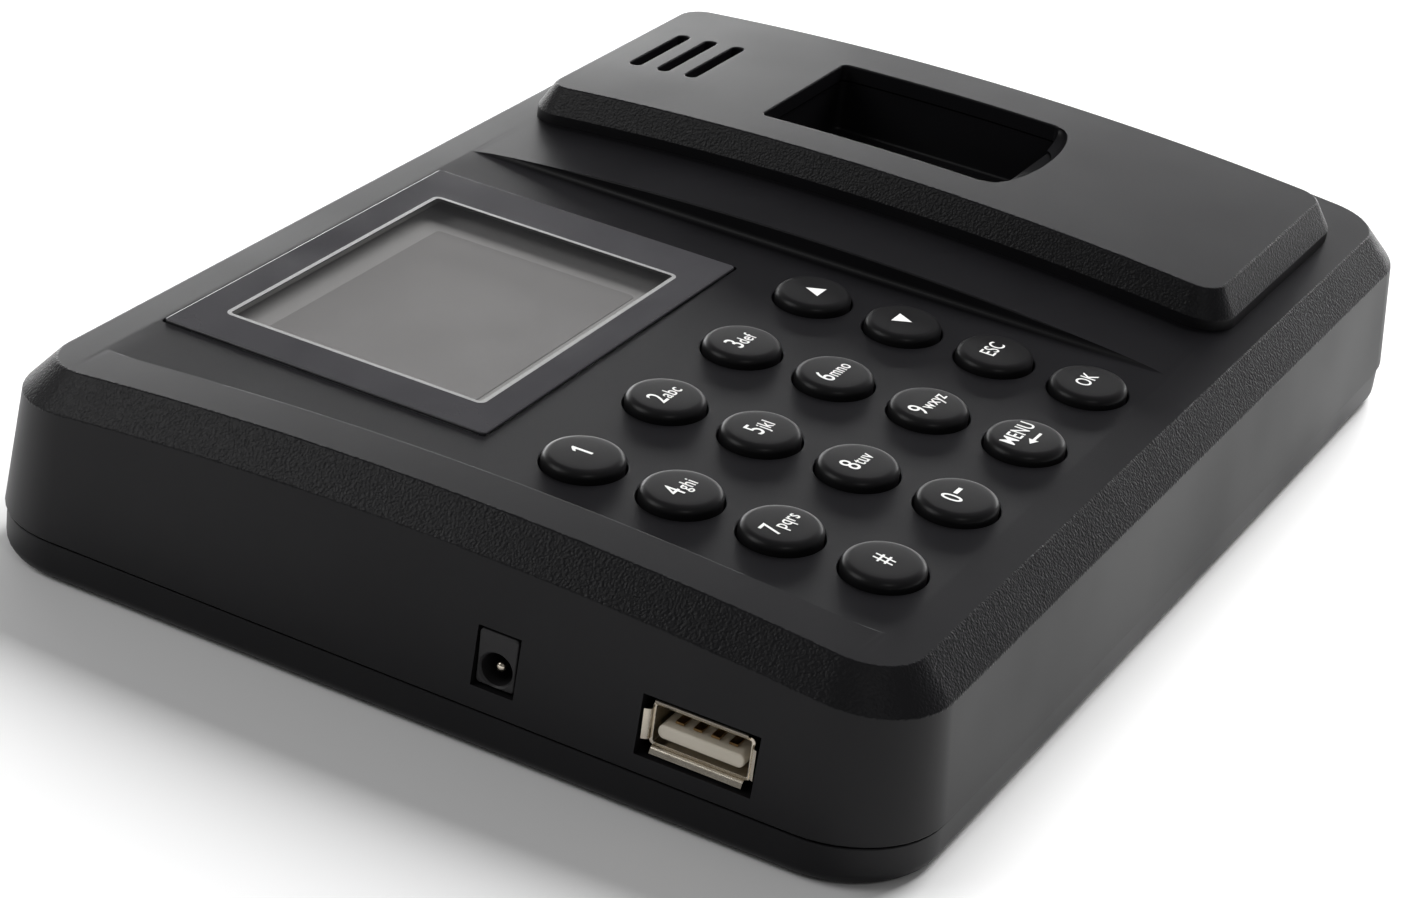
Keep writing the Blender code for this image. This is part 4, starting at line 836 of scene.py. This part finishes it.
def socket_openings():
    x0 = SHELL_LOW.x - SIDE_WALL
    x1 = SHELL_LOW.x + 2 * (SIDE_WALL + SIDE_DRAFT)
    openings = []
    for node, grow in (("usb_shell", USB_CUTOUT_MARGIN - USB_FLARE), ("dc_jack_body", CLEARANCE)):
        low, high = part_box(node)
        first = (x0, low.y - grow, low.z - grow)
        openings.append(block(first, (x1, high.y + grow, high.z + grow)))
    return coloured(gathered(openings), INNER)


def make_case():
    changes = [
        ("UNION", plateau_block()),
        ("DIFFERENCE", pocket_shape()),
        ("DIFFERENCE", body_cavity()),
        ("DIFFERENCE", plateau_cavity()),
        ("DIFFERENCE", key_holes()),
        ("DIFFERENCE", screen_recess()),
        ("DIFFERENCE", display_opening()),
        ("DIFFERENCE", finger_opening()),
        ("DIFFERENCE", finger_scoop()),
        ("DIFFERENCE", speaker_slots()),
        ("DIFFERENCE", socket_openings()),
    ]
    shell = make_piece("case_front", body_block(), CASE_FINISHES, changes)
    fit_in(shell, CASE, "case_black", "front_shell")


def screw_places(prefix):
    return [middle(name) for name in sorted(NODES) if name.startswith(prefix)]


def cover_holes():
    """Counterbores of the case screws, open to the back, and the bores that pass their shafts."""
    low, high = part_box("case_screw_1")
    radius = (high.x - low.x) / 2 + SCREW_HEAD_GAP
    seat = COVER_FLOOR + SCREW_HEAD_GAP
    profile = [(0.0, -COVER_FLOOR)]
    profile += [(radius + FINE_RADIUS, -COVER_FLOOR), (radius + FINE_RADIUS, 0.0), (radius, FINE_RADIUS)]
    profile += [(radius, seat), (SCREW_BORE, seat), (SCREW_BORE, SHELL_HIGH.z / 2), (0.0, SHELL_HIGH.z / 2)]
    holes = []
    for place in screw_places("case_screw_"):
        holes.append(shifted(turned(profile), place.x, place.y))
    return gathered(holes)


def cover_posts():
    low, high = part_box("case_screw_1")
    radius = (high.x - low.x) / 2 + SCREW_HEAD_GAP + HOUSING_WALL / 2
    top = SHELL_LOW.z - CLEARANCE
    posts = []
    for place in screw_places("case_screw_"):
        post = turned([(0.0, FINE_RADIUS), (radius, FINE_RADIUS), (radius, top), (0.0, top)])
        posts.append(shifted(post, place.x, place.y))
    return gathered(posts)


def hanger_recesses():
    """Heads and necks of two blind keyhole recesses that hang the terminal on wall screws."""
    heads, necks = [], []
    low, high = -OVERSHOOT, HANGER_DEPTH
    y = BODY_CENTRE[1]
    size = (2 * HANGER_NECK, HANGER_SLIDE + 2 * HANGER_NECK)
    for x in (BODY_CENTRE[0] - HANGER_PITCH / 2, BODY_CENTRE[0] + HANGER_PITCH / 2):
        head = turned([(0.0, low), (HANGER_HEAD, low), (HANGER_HEAD, high), (0.0, high)])
        heads.append(shifted(head, x, y))
        levels = band([(0.0, low), (0.0, high)])
        necks.append(loft((x, y + HANGER_SLIDE / 2), size, HANGER_NECK, levels))
    return gathered(heads), gathered(necks)


def cover_panel():
    """Shallow blank panel in the middle of the back."""
    levels = band([(0.0, -OVERSHOOT), (0.0, PANEL_DROP / 2), (PANEL_DROP, PANEL_DROP)])
    return loft(BODY_CENTRE, (PANEL_WIDTH, PANEL_DEPTH), PANEL_CORNER, levels)


def make_cover():
    top = SHELL_LOW.z - CLEARANCE
    corner = fillet((COVER_EDGE * 2, 0.0), (0.0, 0.0), (0.0, top), COVER_EDGE, 2 * FILLET_STEPS)
    levels = band([(COVER_INSET + inset, z) for inset, z in corner])
    upper = fillet((0.0, 0.0), (0.0, top), (COVER_EDGE, top), FINE_RADIUS)
    levels += band([(COVER_INSET + inset, z) for inset, z in upper])
    lip_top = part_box("back_cover")[1].z
    lip = band([(COVER_LIP, COVER_FLOOR), (COVER_LIP, lip_top)])
    tray_inset = COVER_LIP + COVER_LIP_WALL
    heads, necks = hanger_recesses()
    tray = band([(tray_inset, COVER_FLOOR), (tray_inset, lip_top + FRONT_THICKNESS)])
    changes = [
        ("UNION", loft(BODY_CENTRE, BODY_SIZE, CORNER_RADIUS, lip)),
        ("DIFFERENCE", loft(BODY_CENTRE, BODY_SIZE, CORNER_RADIUS, tray)),
        ("UNION", cover_posts()),
        ("DIFFERENCE", cover_holes()),
        ("DIFFERENCE", heads),
        ("DIFFERENCE", necks),
        ("DIFFERENCE", cover_panel()),
    ]
    outside = loft(BODY_CENTRE, BODY_SIZE, CORNER_RADIUS, levels)
    cover = make_piece("case_back", outside, CASE_FINISHES, changes)
    fit_in(cover, CASE, "case_black", "back_cover")


def screw_shape(head, height):
    """Threaded screw with a domed head and a cross recess, its seat at z = 0 and its head up."""
    shaft = head / 2
    rise = head * SCREW_HEAD_RISE
    length = height - rise
    tip = shaft * SCREW_TIP_LENGTH
    profile = [(0.0, -length), (shaft * SCREW_TIP_WIDTH, -length)]
    turns = int(length / THREAD_PITCH)
    for turn in range(turns):
        z = -length + tip + (length - tip) * turn / turns
        profile += [(shaft * THREAD_ROOT, z), (shaft, z + THREAD_CREST)]
    profile += [(shaft * THREAD_ROOT, 0.0), (head, 0.0), (head, rise * SCREW_RIM_RISE)]
    for step in range(1, DOME_STEPS + 1):
        angle = math.pi / 2 * step / DOME_STEPS
        share = SCREW_CROWN_INSET + (1 - SCREW_CROWN_INSET) * math.cos(angle)
        z = SCREW_RIM_RISE + (1 - SCREW_RIM_RISE) * math.sin(angle)
        profile.append((head * share, rise * z))
    profile.append((0.0, rise))
    arm, half, deep = head * CROSS_REACH, head * CROSS_HALF_WIDTH, rise * CROSS_FOOT
    changes = []
    for x, y in ((arm, half), (half, arm)):
        changes.append(("DIFFERENCE", block((-x, -y, deep), (x, y, rise * 2))))
    return turned(profile, steps=SCREW_STEPS), changes


def make_screws():
    heads_down = {"case_screw": True, "keypad_screw": True, "sensor_screw": True, "board_screw": False}
    for name in sorted(NODES):
        kind = name.rsplit("_", 1)[0]
        if kind not in heads_down:
            continue
        low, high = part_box(name)
        head = (high.x - low.x) / 2
        rise = head * SCREW_HEAD_RISE
        shape, changes = screw_shape(head, high.z - low.z)
        screw = make_piece(f"fine_{name}", shape, ("steel",), changes)
        flip = heads_down[kind]
        seat = low.z + rise if flip else high.z - rise
        turn = Matrix.Rotation(math.pi if flip else 0.0, 4, "X")
        screw.matrix_world = Matrix.Translation((middle(name).x, middle(name).y, seat)) @ turn
        fit_in(screw, CASE, "steel", name)


# Keys


def key_surface(top, half_x, half_y):
    """Height of the crowned key top at a point measured from its centre."""
    def height(x, y):
        return top - KEY_CROWN * ((x / half_x) ** 2 + (y / half_y) ** 2)

    return height


def make_key(name):
    centre, half_x, half_y, top = key_cap(name)
    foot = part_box(name)[0].z
    flange = 1.0 + KEY_FLANGE / half_y
    rim = KEY_RIM / half_y
    profile = [(0.0, foot), (flange, foot), (flange, foot + KEY_FLANGE_THICKNESS)]
    profile += [(1.0, foot + KEY_FLANGE_THICKNESS)]
    for step in range(2 * FILLET_STEPS + 1):
        angle = math.pi / 2 * step / (2 * FILLET_STEPS)
        share = 1.0 - rim * (1 - math.cos(angle))
        drop = KEY_CROWN * (1.0 - rim) ** 2 + KEY_RIM * (1 - math.sin(angle))
        profile.append((share, top - drop))
    for step in range(FILLET_STEPS, 0, -1):
        share = (1.0 - rim) * step / (FILLET_STEPS + 1)
        profile.append((share, top - KEY_CROWN * share**2))
    profile.append((0.0, top))
    cap = make_piece(f"cap_{name}", turned(profile, half_x, half_y), ("key_black",))
    cap.location = (centre.x, centre.y, 0.0)
    fit_in(cap, name, "key_black", name)


def text_shape(text, height):
    """Flat letters on the line y = 0 from x = 0, whose capitals have the given height."""
    curve = bpy.data.curves.new("letters", "FONT")
    curve.body = text
    curve.size = height / CAPITAL_SHARE
    curve.offset = LETTER_WEIGHT - height * LETTER_WEIGHT_LOSS
    curve.space_character = LETTER_SPACING
    curve.extrude = LEGEND_DEPTH
    curve.resolution_u = 5
    obj = bpy.data.objects.new("letters", curve)
    bpy.context.scene.collection.objects.link(obj)
    bpy.context.view_layer.update()
    graph = bpy.context.evaluated_depsgraph_get()
    mesh = bpy.data.meshes.new_from_object(obj.evaluated_get(graph))
    bm = bmesh.new()
    bm.from_mesh(mesh)
    bpy.data.meshes.remove(mesh)
    bpy.data.objects.remove(obj)
    bpy.data.curves.remove(curve)
    return moved(bm, Matrix.Diagonal((GLYPH_NARROWING, 1.0, 1.0, 1.0)))


def extent(bm, axis):
    values = [vertex.co[axis] for vertex in bm.verts]
    return min(values), max(values)


def plate(outline):
    """Thin plate with the given outline, as deep as the letters."""
    bm = bmesh.new()
    for z in (-LEGEND_DEPTH, LEGEND_DEPTH):
        bm.faces.new([bm.verts.new((x, y, z)) for x, y in outline])
    low, high = list(bm.verts)[: len(outline)], list(bm.verts)[len(outline):]
    for i in range(len(outline)):
        j = (i + 1) % len(outline)
        bm.faces.new((low[i], low[j], high[j], high[i]))
    return bm


def triangle(flip):
    """Arrowhead that points along +Y, or along -Y when flipped."""
    half = TRIANGLE_SIDE / 2
    tip = half * TRIANGLE_SLIMNESS * (-1.0 if flip else 1.0)
    return plate([(-half, -tip), (half, -tip), (0.0, tip)])


def digit_one(height):
    """A 1 with a slanted flag and no foot."""
    outline = (0.20, 0.0), (0.35, 0.0), (0.35, 1.0), (0.24, 1.0), (0.0, 0.80), (0.0, 0.66), (0.20, 0.78)
    return plate([(x * height, y * height) for x, y in outline])


def back_arrow(y):
    """Left-pointing arrow with a straight shaft."""
    end = ARROW_LENGTH / 2
    neck = 2 * ARROW_HEAD - end
    return plate([
        (-end, y), (neck, y - ARROW_HEAD), (neck, y - ARROW_SHAFT), (end, y - ARROW_SHAFT),
        (end, y + ARROW_SHAFT), (neck, y + ARROW_SHAFT), (neck, y + ARROW_HEAD),
    ])


def bar(x):
    """Short dash beside a digit, its left end at x."""
    low, high = (x, BAR_FOOT), (x + BAR_WIDTH, BAR_FOOT + BAR_THICKNESS)
    return plate([low, (high[0], low[1]), high, (low[0], high[1])])


def legend_shape(name):
    """Flat print of a key, around its centre."""
    if name in ("key_up", "key_down"):
        return triangle(name == "key_down")
    shapes = []
    reach = 0.0
    for text, height in LEGENDS[name]:
        if text == "-":
            shapes.append(bar(reach + BAR_GAP))
            continue
        shape = digit_one(height) if text == "1" else text_shape(text, height)
        low, high = extent(shape, 0)
        gap = LEGEND_GAP if shapes else 0.0
        shapes.append(shifted(shape, reach + gap - low))
        reach += gap + high - low
    shape = gathered(shapes)
    low, high = extent(shape, 0)
    capital = LEGENDS[name][0][1]
    lift = LEGEND_LIFT - capital / 2
    if name == "key_menu":
        lift += capital * MENU_LIFT_SHARE
    shape = shifted(shape, -(low + high) / 2, lift)
    if name == "key_menu":
        shape = gathered([shape, back_arrow(lift - ARROW_DROP)])
    return shape


def make_legend(name):
    """Print that lies on the crowned top of its key."""
    centre, half_x, half_y, top = key_cap(name)
    surface = key_surface(top, half_x, half_y)
    bm = legend_shape(name)
    for vertex in bm.verts:
        above = LEGEND_RISE if vertex.co.z > 0.0 else -LEGEND_DEPTH
        vertex.co.z = surface(vertex.co.x, vertex.co.y) + above
    mesh = bpy.data.meshes.new(f"legend_{name}")
    bm.to_mesh(mesh)
    bm.free()
    mesh.materials.append(FINISHES["legend"].material)
    legend = bpy.data.objects.new(f"legend_{name}", mesh)
    bpy.context.scene.collection.objects.link(legend)
    legend.location = (centre.x, centre.y, 0.0)
    fit_in(legend, name, None)


# Screen


def line_rectangle():
    """Centre and size of the printed line, measured to the middle of its width."""
    low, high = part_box("screen_window")
    x0, x1 = low.x + LINE_MARGIN_LEFT, high.x - LINE_MARGIN_RIGHT
    y0, y1 = low.y + LINE_MARGIN_BOTTOM, high.y - LINE_MARGIN_TOP
    return ((x0 + x1) / 2, (y0 + y1) / 2), (x1 - x0, y1 - y0)


def make_screen():
    """Clear pane with a border printed near its top, and a pale line round the clear part."""
    low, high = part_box("screen_window")
    centre, size = footprint("screen_window")
    line_centre, line_size = line_rectangle()
    under = high.z - PRINT_DEPTH - SCREEN_EDGE
    edge = fillet((0.0, low.z), (0.0, high.z), (SCREEN_CORNER, high.z), SCREEN_EDGE)
    slab = loft(centre, size, SCREEN_CORNER, band([(0.0, under)] + edge))
    through = band([(0.0, low.z - CLEARANCE), (0.0, high.z + CLEARANCE)])
    hole = loft(line_centre, line_size, LINE_CORNER, through)
    border = make_piece("window_border", slab, ("border",), [("DIFFERENCE", hole)])
    fit_in(border, CASE, "window", "screen_window")
    inset = LINE_MARGIN_BOTTOM / 2
    step = [(0.0, low.z), (0.0, under), (inset, under), (inset, high.z - LINE_RISE)]
    pane = loft(centre, size, SCREEN_CORNER, band(step))
    fit_in(make_piece("window_pane", pane, ("window",)), CASE, "window")
    half = LINE_WIDTH / 2
    outer = band([(-half, high.z - LINE_RISE), (-half, high.z + LINE_RISE)])
    inner = band([(half, high.z - CLEARANCE), (half, high.z + CLEARANCE)])
    ring = loft(line_centre, line_size, LINE_CORNER, outer)
    gap = loft(line_centre, line_size, LINE_CORNER, inner)
    fit_in(make_piece("window_line", ring, ("line",), [("DIFFERENCE", gap)]), CASE, None)


def make_display():
    """Display module with its active film, and a gasket ring up to the window. The display border and the
    gasket are pale as painted light over the shade under the printed window border.
    """
    low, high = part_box("lcd_panel")
    centre, size = footprint("lcd_panel")
    glass = high.z - ACTIVE_FILM
    edge = fillet((0.0, low.z), (0.0, glass), (SCREEN_CORNER, glass), FINE_RADIUS)
    slab = coloured(loft(centre, size, SCREEN_CORNER, band([(0.0, low.z)] + edge)), 1)
    bevel = ACTIVE_FILM / 3
    film_levels = band([(0.0, low.z + ACTIVE_FILM), (0.0, high.z - bevel), (bevel, high.z)])
    film = loft(centre, (ACTIVE_WIDTH, ACTIVE_DEPTH), SCREEN_CORNER, film_levels)
    panel = make_piece("display_panel", slab, ("display", "display_rim"), [("UNION", film)])
    fit_in(panel, CASE, "display", "lcd_panel")
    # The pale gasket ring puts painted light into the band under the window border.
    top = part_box("screen_window")[0].z - LINE_RISE
    ring = loft(centre, size, SCREEN_CORNER, band([(0.0, high.z), (0.0, top)]))
    inner = band([(GASKET_WALL, low.z), (GASKET_WALL, top + CLEARANCE)])
    inside = loft(centre, size, SCREEN_CORNER, inner)
    gasket = make_piece("display_gasket", ring, ("gasket",), [("DIFFERENCE", inside)])
    fit_in(gasket, CASE, None)


# Sockets

ALONG_X = Matrix.Rotation(math.pi / 2, 4, "Z") @ Matrix.Rotation(math.pi / 2, 4, "X")


def tube(size, radius, x0, x1):
    """Rounded rectangle of (width, height) swept along X."""
    bm = loft((0.0, 0.0), size, radius, band([(0.0, x0), (0.0, x1)]))
    return moved(bm, ALONG_X)


def flap(width, out):
    """Folded tab, in its own frame: it leaves the tube's wall and bends outwards, along +Y."""
    bend = [(0.0, FLAP_ROOT), (0.0, FLAP_STRAIGHT)]
    for step in range(1, FLAP_BEND_STEPS + 1):
        angle = math.radians(FLAP_BEND_ANGLE * step / FLAP_BEND_STEPS)
        x = FLAP_BEND_RADIUS * (1 - math.cos(angle))
        bend.append((x, FLAP_STRAIGHT - FLAP_BEND_RADIUS * math.sin(angle)))
    bend.append((out, FLAP_TIP))
    bm = bmesh.new()
    rings = []
    for index, point in enumerate(bend):
        before = Vector(bend[max(index - 1, 0)])
        after = Vector(bend[min(index + 1, len(bend) - 1)])
        along = (after - before).normalized()
        normal = Vector((-along.y, along.x)) * FLAP_SHEET / 2
        ring = []
        for across, side in ((-1, -1), (1, -1), (1, 1), (-1, 1)):
            place = Vector(point) + normal * side
            ring.append(bm.verts.new((place.y, place.x, across * width / 2)))
        rings.append(ring)
    bm.faces.new(rings[0])
    bm.faces.new(rings[-1])
    for low, high in zip(rings, rings[1:]):
        for i in range(4):
            j = (i + 1) % 4
            bm.faces.new((low[i], low[j], high[j], high[i]))
    return bm


def bar_start():
    """First levels of a bar whose front edges are rounded, as (inset, distance)."""
    levels = []
    for angle in BAR_EDGE_ANGLES:
        levels.append((FINE_RADIUS * (1 - math.sin(angle)), FINE_RADIUS * (1 - math.cos(angle))))
    return levels


def make_usb_shell():
    """Metal tube whose mouth opens out in four folded tabs."""
    low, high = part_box("usb_shell")
    centre = (low + high) / 2
    width = high.y - low.y - 2 * USB_FLARE
    height = high.z - low.z - 2 * USB_FLARE
    length = high.x - low.x
    place = Matrix.Translation((low.x, centre.y, centre.z))
    shell = moved(tube((width, height), USB_CORNER, USB_TUBE_START, length), place)
    hollow_size = (width - 2 * USB_SHEET, height - 2 * USB_SHEET)
    hollow = tube(hollow_size, USB_CORNER - USB_SHEET, -OVERSHOOT, length + OVERSHOOT)
    changes = [("DIFFERENCE", moved(hollow, place))]
    reach = USB_FLARE - FLAP_SHEET / 2
    for angle, half, across in (
        (0.0, width / 2, FLAP_SHORT), (180.0, width / 2, FLAP_SHORT),
        (90.0, height / 2, FLAP_LONG), (270.0, height / 2, FLAP_LONG),
    ):
        turn = Matrix.Rotation(math.radians(angle), 4, "X")
        out = Matrix.Translation((0.0, half - FLAP_SHEET / 2, 0.0))
        changes.append(("UNION", moved(flap(across, reach), place @ turn @ out)))
    piece = make_piece("usb_metal_shell", shell, ("nickel",), changes)
    fit_in(piece, CASE, "nickel", "usb_shell")


def make_usb_inside():
    """Insulating tongue with its spring contacts."""
    low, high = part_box("usb_tongue")
    centre = (low + high) / 2
    place = Matrix.Translation((low.x, centre.y, centre.z))
    size = (high.y - low.y, high.z - low.z)
    levels = band(bar_start() + [(0.0, high.x - low.x)])
    tongue = moved(loft((0.0, 0.0), size, TONGUE_CORNER, levels), place @ ALONG_X)
    fit_in(make_piece("usb_insulator", tongue, ("cream_plastic",)), CASE, "cream_plastic", "usb_tongue")

    foot = high.z + CONTACT_RISE
    low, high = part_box("usb_contacts")
    strips = []
    for index in range(CONTACT_COUNT):
        y = centre.y + (index - (CONTACT_COUNT - 1) / 2) * CONTACT_PITCH
        first = (low.x, y - CONTACT_WIDTH / 2, foot)
        strips.append(block(first, (high.x, y + CONTACT_WIDTH / 2, high.z)))
    comb = make_piece("usb_spring_contacts", gathered(strips), ("gold",))
    fit_in(comb, CASE, "gold", "usb_contacts")


def make_power_jack():
    low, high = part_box("dc_jack_body")
    centre = (low + high) / 2
    size = (high.y - low.y, high.z - low.z)
    place = Matrix.Translation((low.x, centre.y, centre.z))
    levels = band(bar_start() + [(0.0, high.x - low.x)])
    body = moved(loft((0.0, 0.0), size, EDGE_RADIUS, levels), place @ ALONG_X)
    pin_low, pin_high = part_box("dc_jack_pin")
    pin = (pin_low + pin_high) / 2
    rim = EDGE_RADIUS / 2
    mouth = JACK_HOLE_RADIUS + rim
    bore = [(0.0, -OVERSHOOT), (mouth, -OVERSHOOT), (mouth, 0.0)]
    bore += [(JACK_HOLE_RADIUS, rim), (JACK_HOLE_RADIUS, JACK_HOLE_DEPTH), (0.0, JACK_HOLE_DEPTH)]
    towards = Matrix.Translation((low.x, pin.y, pin.z)) @ Matrix.Rotation(math.pi / 2, 4, "Y")
    hole = moved(turned(bore), towards)
    piece = make_piece("power_jack_body", body, ("chip_black",), [("DIFFERENCE", hole)])
    fit_in(piece, CASE, "chip_black", "dc_jack_body")
    radius = (pin_high.z - pin_low.z) / 2
    length = pin_high.x - pin_low.x
    profile = [(0.0, 0.0)]
    for step in range(1, DOME_STEPS + 1):
        angle = math.pi / 2 * step / DOME_STEPS
        profile.append((radius * math.sin(angle), JACK_PIN_TIP * (1 - math.cos(angle))))
    profile += [(radius, length), (0.0, length)]
    towards = Matrix.Translation((pin_low.x, pin.y, pin.z)) @ Matrix.Rotation(math.pi / 2, 4, "Y")
    piece = make_piece("power_jack_pin", moved(turned(profile, steps=PIN_STEPS), towards), ("nickel",))
    fit_in(piece, CASE, "steel", "dc_jack_pin")


# Sensor and speaker


def make_sensor_well():
    low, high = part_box("sensor_housing")
    centre, size = well_opening()
    outer = (size[0] + 2 * HOUSING_WALL, size[1] + 2 * HOUSING_WALL)

    def top(y):
        return arch(y) + PLATEAU_RISE - PLATEAU_THICKNESS - CLEARANCE

    levels = band([(0.0, low.z)]) + band([(0.0, 0.0)], top)
    walls = loft(centre, outer, 2 * WELL_CORNER, levels, ARCH_STEPS)
    floor_z = low.z + WELL_FLOOR
    well = fillet((EDGE_RADIUS * 2, floor_z), (-WELL_SEAM, floor_z), (-WELL_SEAM, high.z), EDGE_RADIUS)
    hollow = loft(centre, size, WELL_CORNER, band(well + [(-WELL_SEAM, high.z + PLATEAU_RISE)]))
    gap = footprint("sensor_prism", CLEARANCE)[1]
    through = band([(0.0, low.z - CLEARANCE), (0.0, floor_z + CLEARANCE)])
    window = loft(centre, gap, WELL_CORNER, through)
    changes = [("DIFFERENCE", hollow), ("DIFFERENCE", window)]
    piece = make_piece("sensor_well", coloured(walls, INNER), CASE_FINISHES, changes)
    fit_in(piece, CASE, "case_black", "sensor_housing")


def make_sensor_window():
    """Glass of the sensor, which narrows towards its foot."""
    low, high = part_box("sensor_prism")
    centre = well_opening()[0]
    size = footprint("sensor_prism")[1]
    taper = high.z - PRISM_TAPER_DROP
    profile = [(PRISM_TAPER_INSET, low.z), (0.0, taper)]
    profile += fillet((0.0, taper), (0.0, high.z), (EDGE_RADIUS, high.z), SCREEN_EDGE)
    prism = loft(centre, size, SCREEN_CORNER, band(profile))
    piece = make_piece("sensor_window", prism, ("sensor_glass",))
    fit_in(piece, CASE, "sensor_glass", "sensor_prism")


def mesh_cell(bm, place, step, heights):
    """One rectangle of plate with a round hole, front and back."""
    loops = []
    for z in heights:
        inner, outer = [], []
        for side in range(MESH_HOLE_SIDES):
            angle = 2 * math.pi * side / MESH_HOLE_SIDES
            cos, sin = math.cos(angle), math.sin(angle)
            reach = 1.0 / max(abs(cos), abs(sin))
            hole = (place[0] + MESH_HOLE_RADIUS * cos, place[1] + MESH_HOLE_RADIUS * sin, z)
            rim = (place[0] + step[0] / 2 * cos * reach, place[1] + step[1] / 2 * sin * reach, z)
            inner.append(bm.verts.new(hole))
            outer.append(bm.verts.new(rim))
        loops.append((inner, outer))
    (inner0, outer0), (inner1, outer1) = loops
    for i in range(MESH_HOLE_SIDES):
        j = (i + 1) % MESH_HOLE_SIDES
        bm.faces.new((outer0[i], outer0[j], inner0[j], inner0[i]))
        bm.faces.new((inner1[i], inner1[j], outer1[j], outer1[i]))
        bm.faces.new((inner0[i], inner0[j], inner1[j], inner1[i]))


def make_speaker_mesh():
    """Perforated plate behind the slots, welded from equal cells."""
    low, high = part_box("speaker_mesh")
    columns = int((high.x - low.x) / MESH_PITCH)
    rows = int((high.y - low.y) / MESH_PITCH)
    step = ((high.x - low.x) / columns, (high.y - low.y) / rows)
    bm = bmesh.new()
    for column in range(columns):
        for row in range(rows):
            place = (low.x + (column + 0.5) * step[0], low.y + (row + 0.5) * step[1])
            mesh_cell(bm, place, step, (low.z, high.z))
    bmesh.ops.remove_doubles(bm, verts=bm.verts, dist=WELD_DISTANCE)
    bmesh.ops.bridge_loops(bm, edges=[edge for edge in bm.edges if edge.is_boundary])
    mesh = make_piece("speaker_grille", bm, ("steel",))
    fit_in(mesh, CASE, "steel", "speaker_mesh")


# Kept CAD pieces


def finish_kept_nodes():
    for node in NODES.values():
        if node.hide_render:
            continue
        for slot in node.material_slots:
            slot.material = FINISHES[slot.material.name.split(".")[0]].material


# Studio

CAMERA_PLACE = (-0.40318, -0.17871, 0.22229)
CAMERA_AZIMUTH = -65.22
CAMERA_ELEVATION = 26.78
CAMERA_ROLL = 7.61
CAMERA_LENS = 91.61
SENSOR_WIDTH = 36.0
WORLD_STRENGTH = 0.14
FLOOR_HALF = 4.0
FLOOR_GAP = 0.0002

# Name, place, target, width and height, watts, and whether glossy surfaces show it
LIGHTS = (
    ("floor_light", (0.85, -0.05, 0.82), (0.0, 0.0, 0.0), (0.8, 0.8), 27.0, False),
    ("back_panel", (1.20, 0.62, 0.15), (0.0, 0.0, 0.05), (2.2, 0.30), 16.0, True),
    ("left_panel", (-0.50, 0.72, 0.70), (0.0, 0.0, 0.02), (0.6, 0.6), 3.6, True),
    ("rim_light", (-0.55, -0.65, 0.75), (0.0, 0.0, 0.02), (0.18, 0.18), 0.7, True),
)


def make_camera():
    azimuth, elevation, roll = map(math.radians, (CAMERA_AZIMUTH, CAMERA_ELEVATION, CAMERA_ROLL))
    level = math.cos(elevation)
    back = Vector((math.sin(azimuth) * level, -math.cos(azimuth) * level, math.sin(elevation)))
    right = Vector((0.0, 0.0, 1.0)).cross(back).normalized()
    up = back.cross(right)
    across = right * math.cos(roll) + up * math.sin(roll)
    upward = up * math.cos(roll) - right * math.sin(roll)
    turn = Matrix((across, upward, back)).transposed().to_4x4()
    data = bpy.data.cameras.new("camera")
    data.lens = CAMERA_LENS
    data.sensor_width = SENSOR_WIDTH
    data.clip_start, data.clip_end = 0.01, 20.0
    camera = bpy.data.objects.new("camera", data)
    camera.matrix_world = Matrix.Translation(CAMERA_PLACE) @ turn
    bpy.context.scene.collection.objects.link(camera)
    bpy.context.scene.camera = camera


def soft_light(name, place, aim, size, power, glossy):
    data = bpy.data.lights.new(name, "AREA")
    data.shape = "RECTANGLE"
    data.size, data.size_y = size
    data.energy = power
    light = bpy.data.objects.new(name, data)
    light.location = place
    light.rotation_euler = (Vector(aim) - Vector(place)).to_track_quat("-Z", "Y").to_euler()
    light.visible_glossy = glossy
    bpy.context.scene.collection.objects.link(light)


def make_studio():
    bm = bmesh.new()
    bmesh.ops.create_grid(bm, x_segments=8, y_segments=8, size=FLOOR_HALF)
    mesh = bpy.data.meshes.new("floor")
    bm.to_mesh(mesh)
    bm.free()
    mesh.materials.append(FINISHES["floor"].material)
    floor = bpy.data.objects.new("floor", mesh)
    floor.location = (0.0, 0.0, CAD_LOW.z - FLOOR_GAP)
    bpy.context.scene.collection.objects.link(floor)
    for values in LIGHTS:
        soft_light(*values)
    world = bpy.data.worlds.new("studio")
    world.use_nodes = True
    world.node_tree.nodes["Background"].inputs["Color"].default_value = (1.0, 1.0, 1.0, 1.0)
    world.node_tree.nodes["Background"].inputs["Strength"].default_value = WORLD_STRENGTH
    bpy.context.scene.world = world
    bpy.context.scene.view_settings.view_transform = "Standard"


def main():
    make_camera()
    make_studio()
    make_case()
    make_cover()
    make_screws()
    for name in key_names():
        make_key(name)
        make_legend(name)
    make_screen()
    make_display()
    make_usb_shell()
    make_usb_inside()
    make_power_jack()
    make_sensor_well()
    make_sensor_window()
    make_speaker_mesh()
    finish_kept_nodes()


main()
bpy.context.view_layer.update()
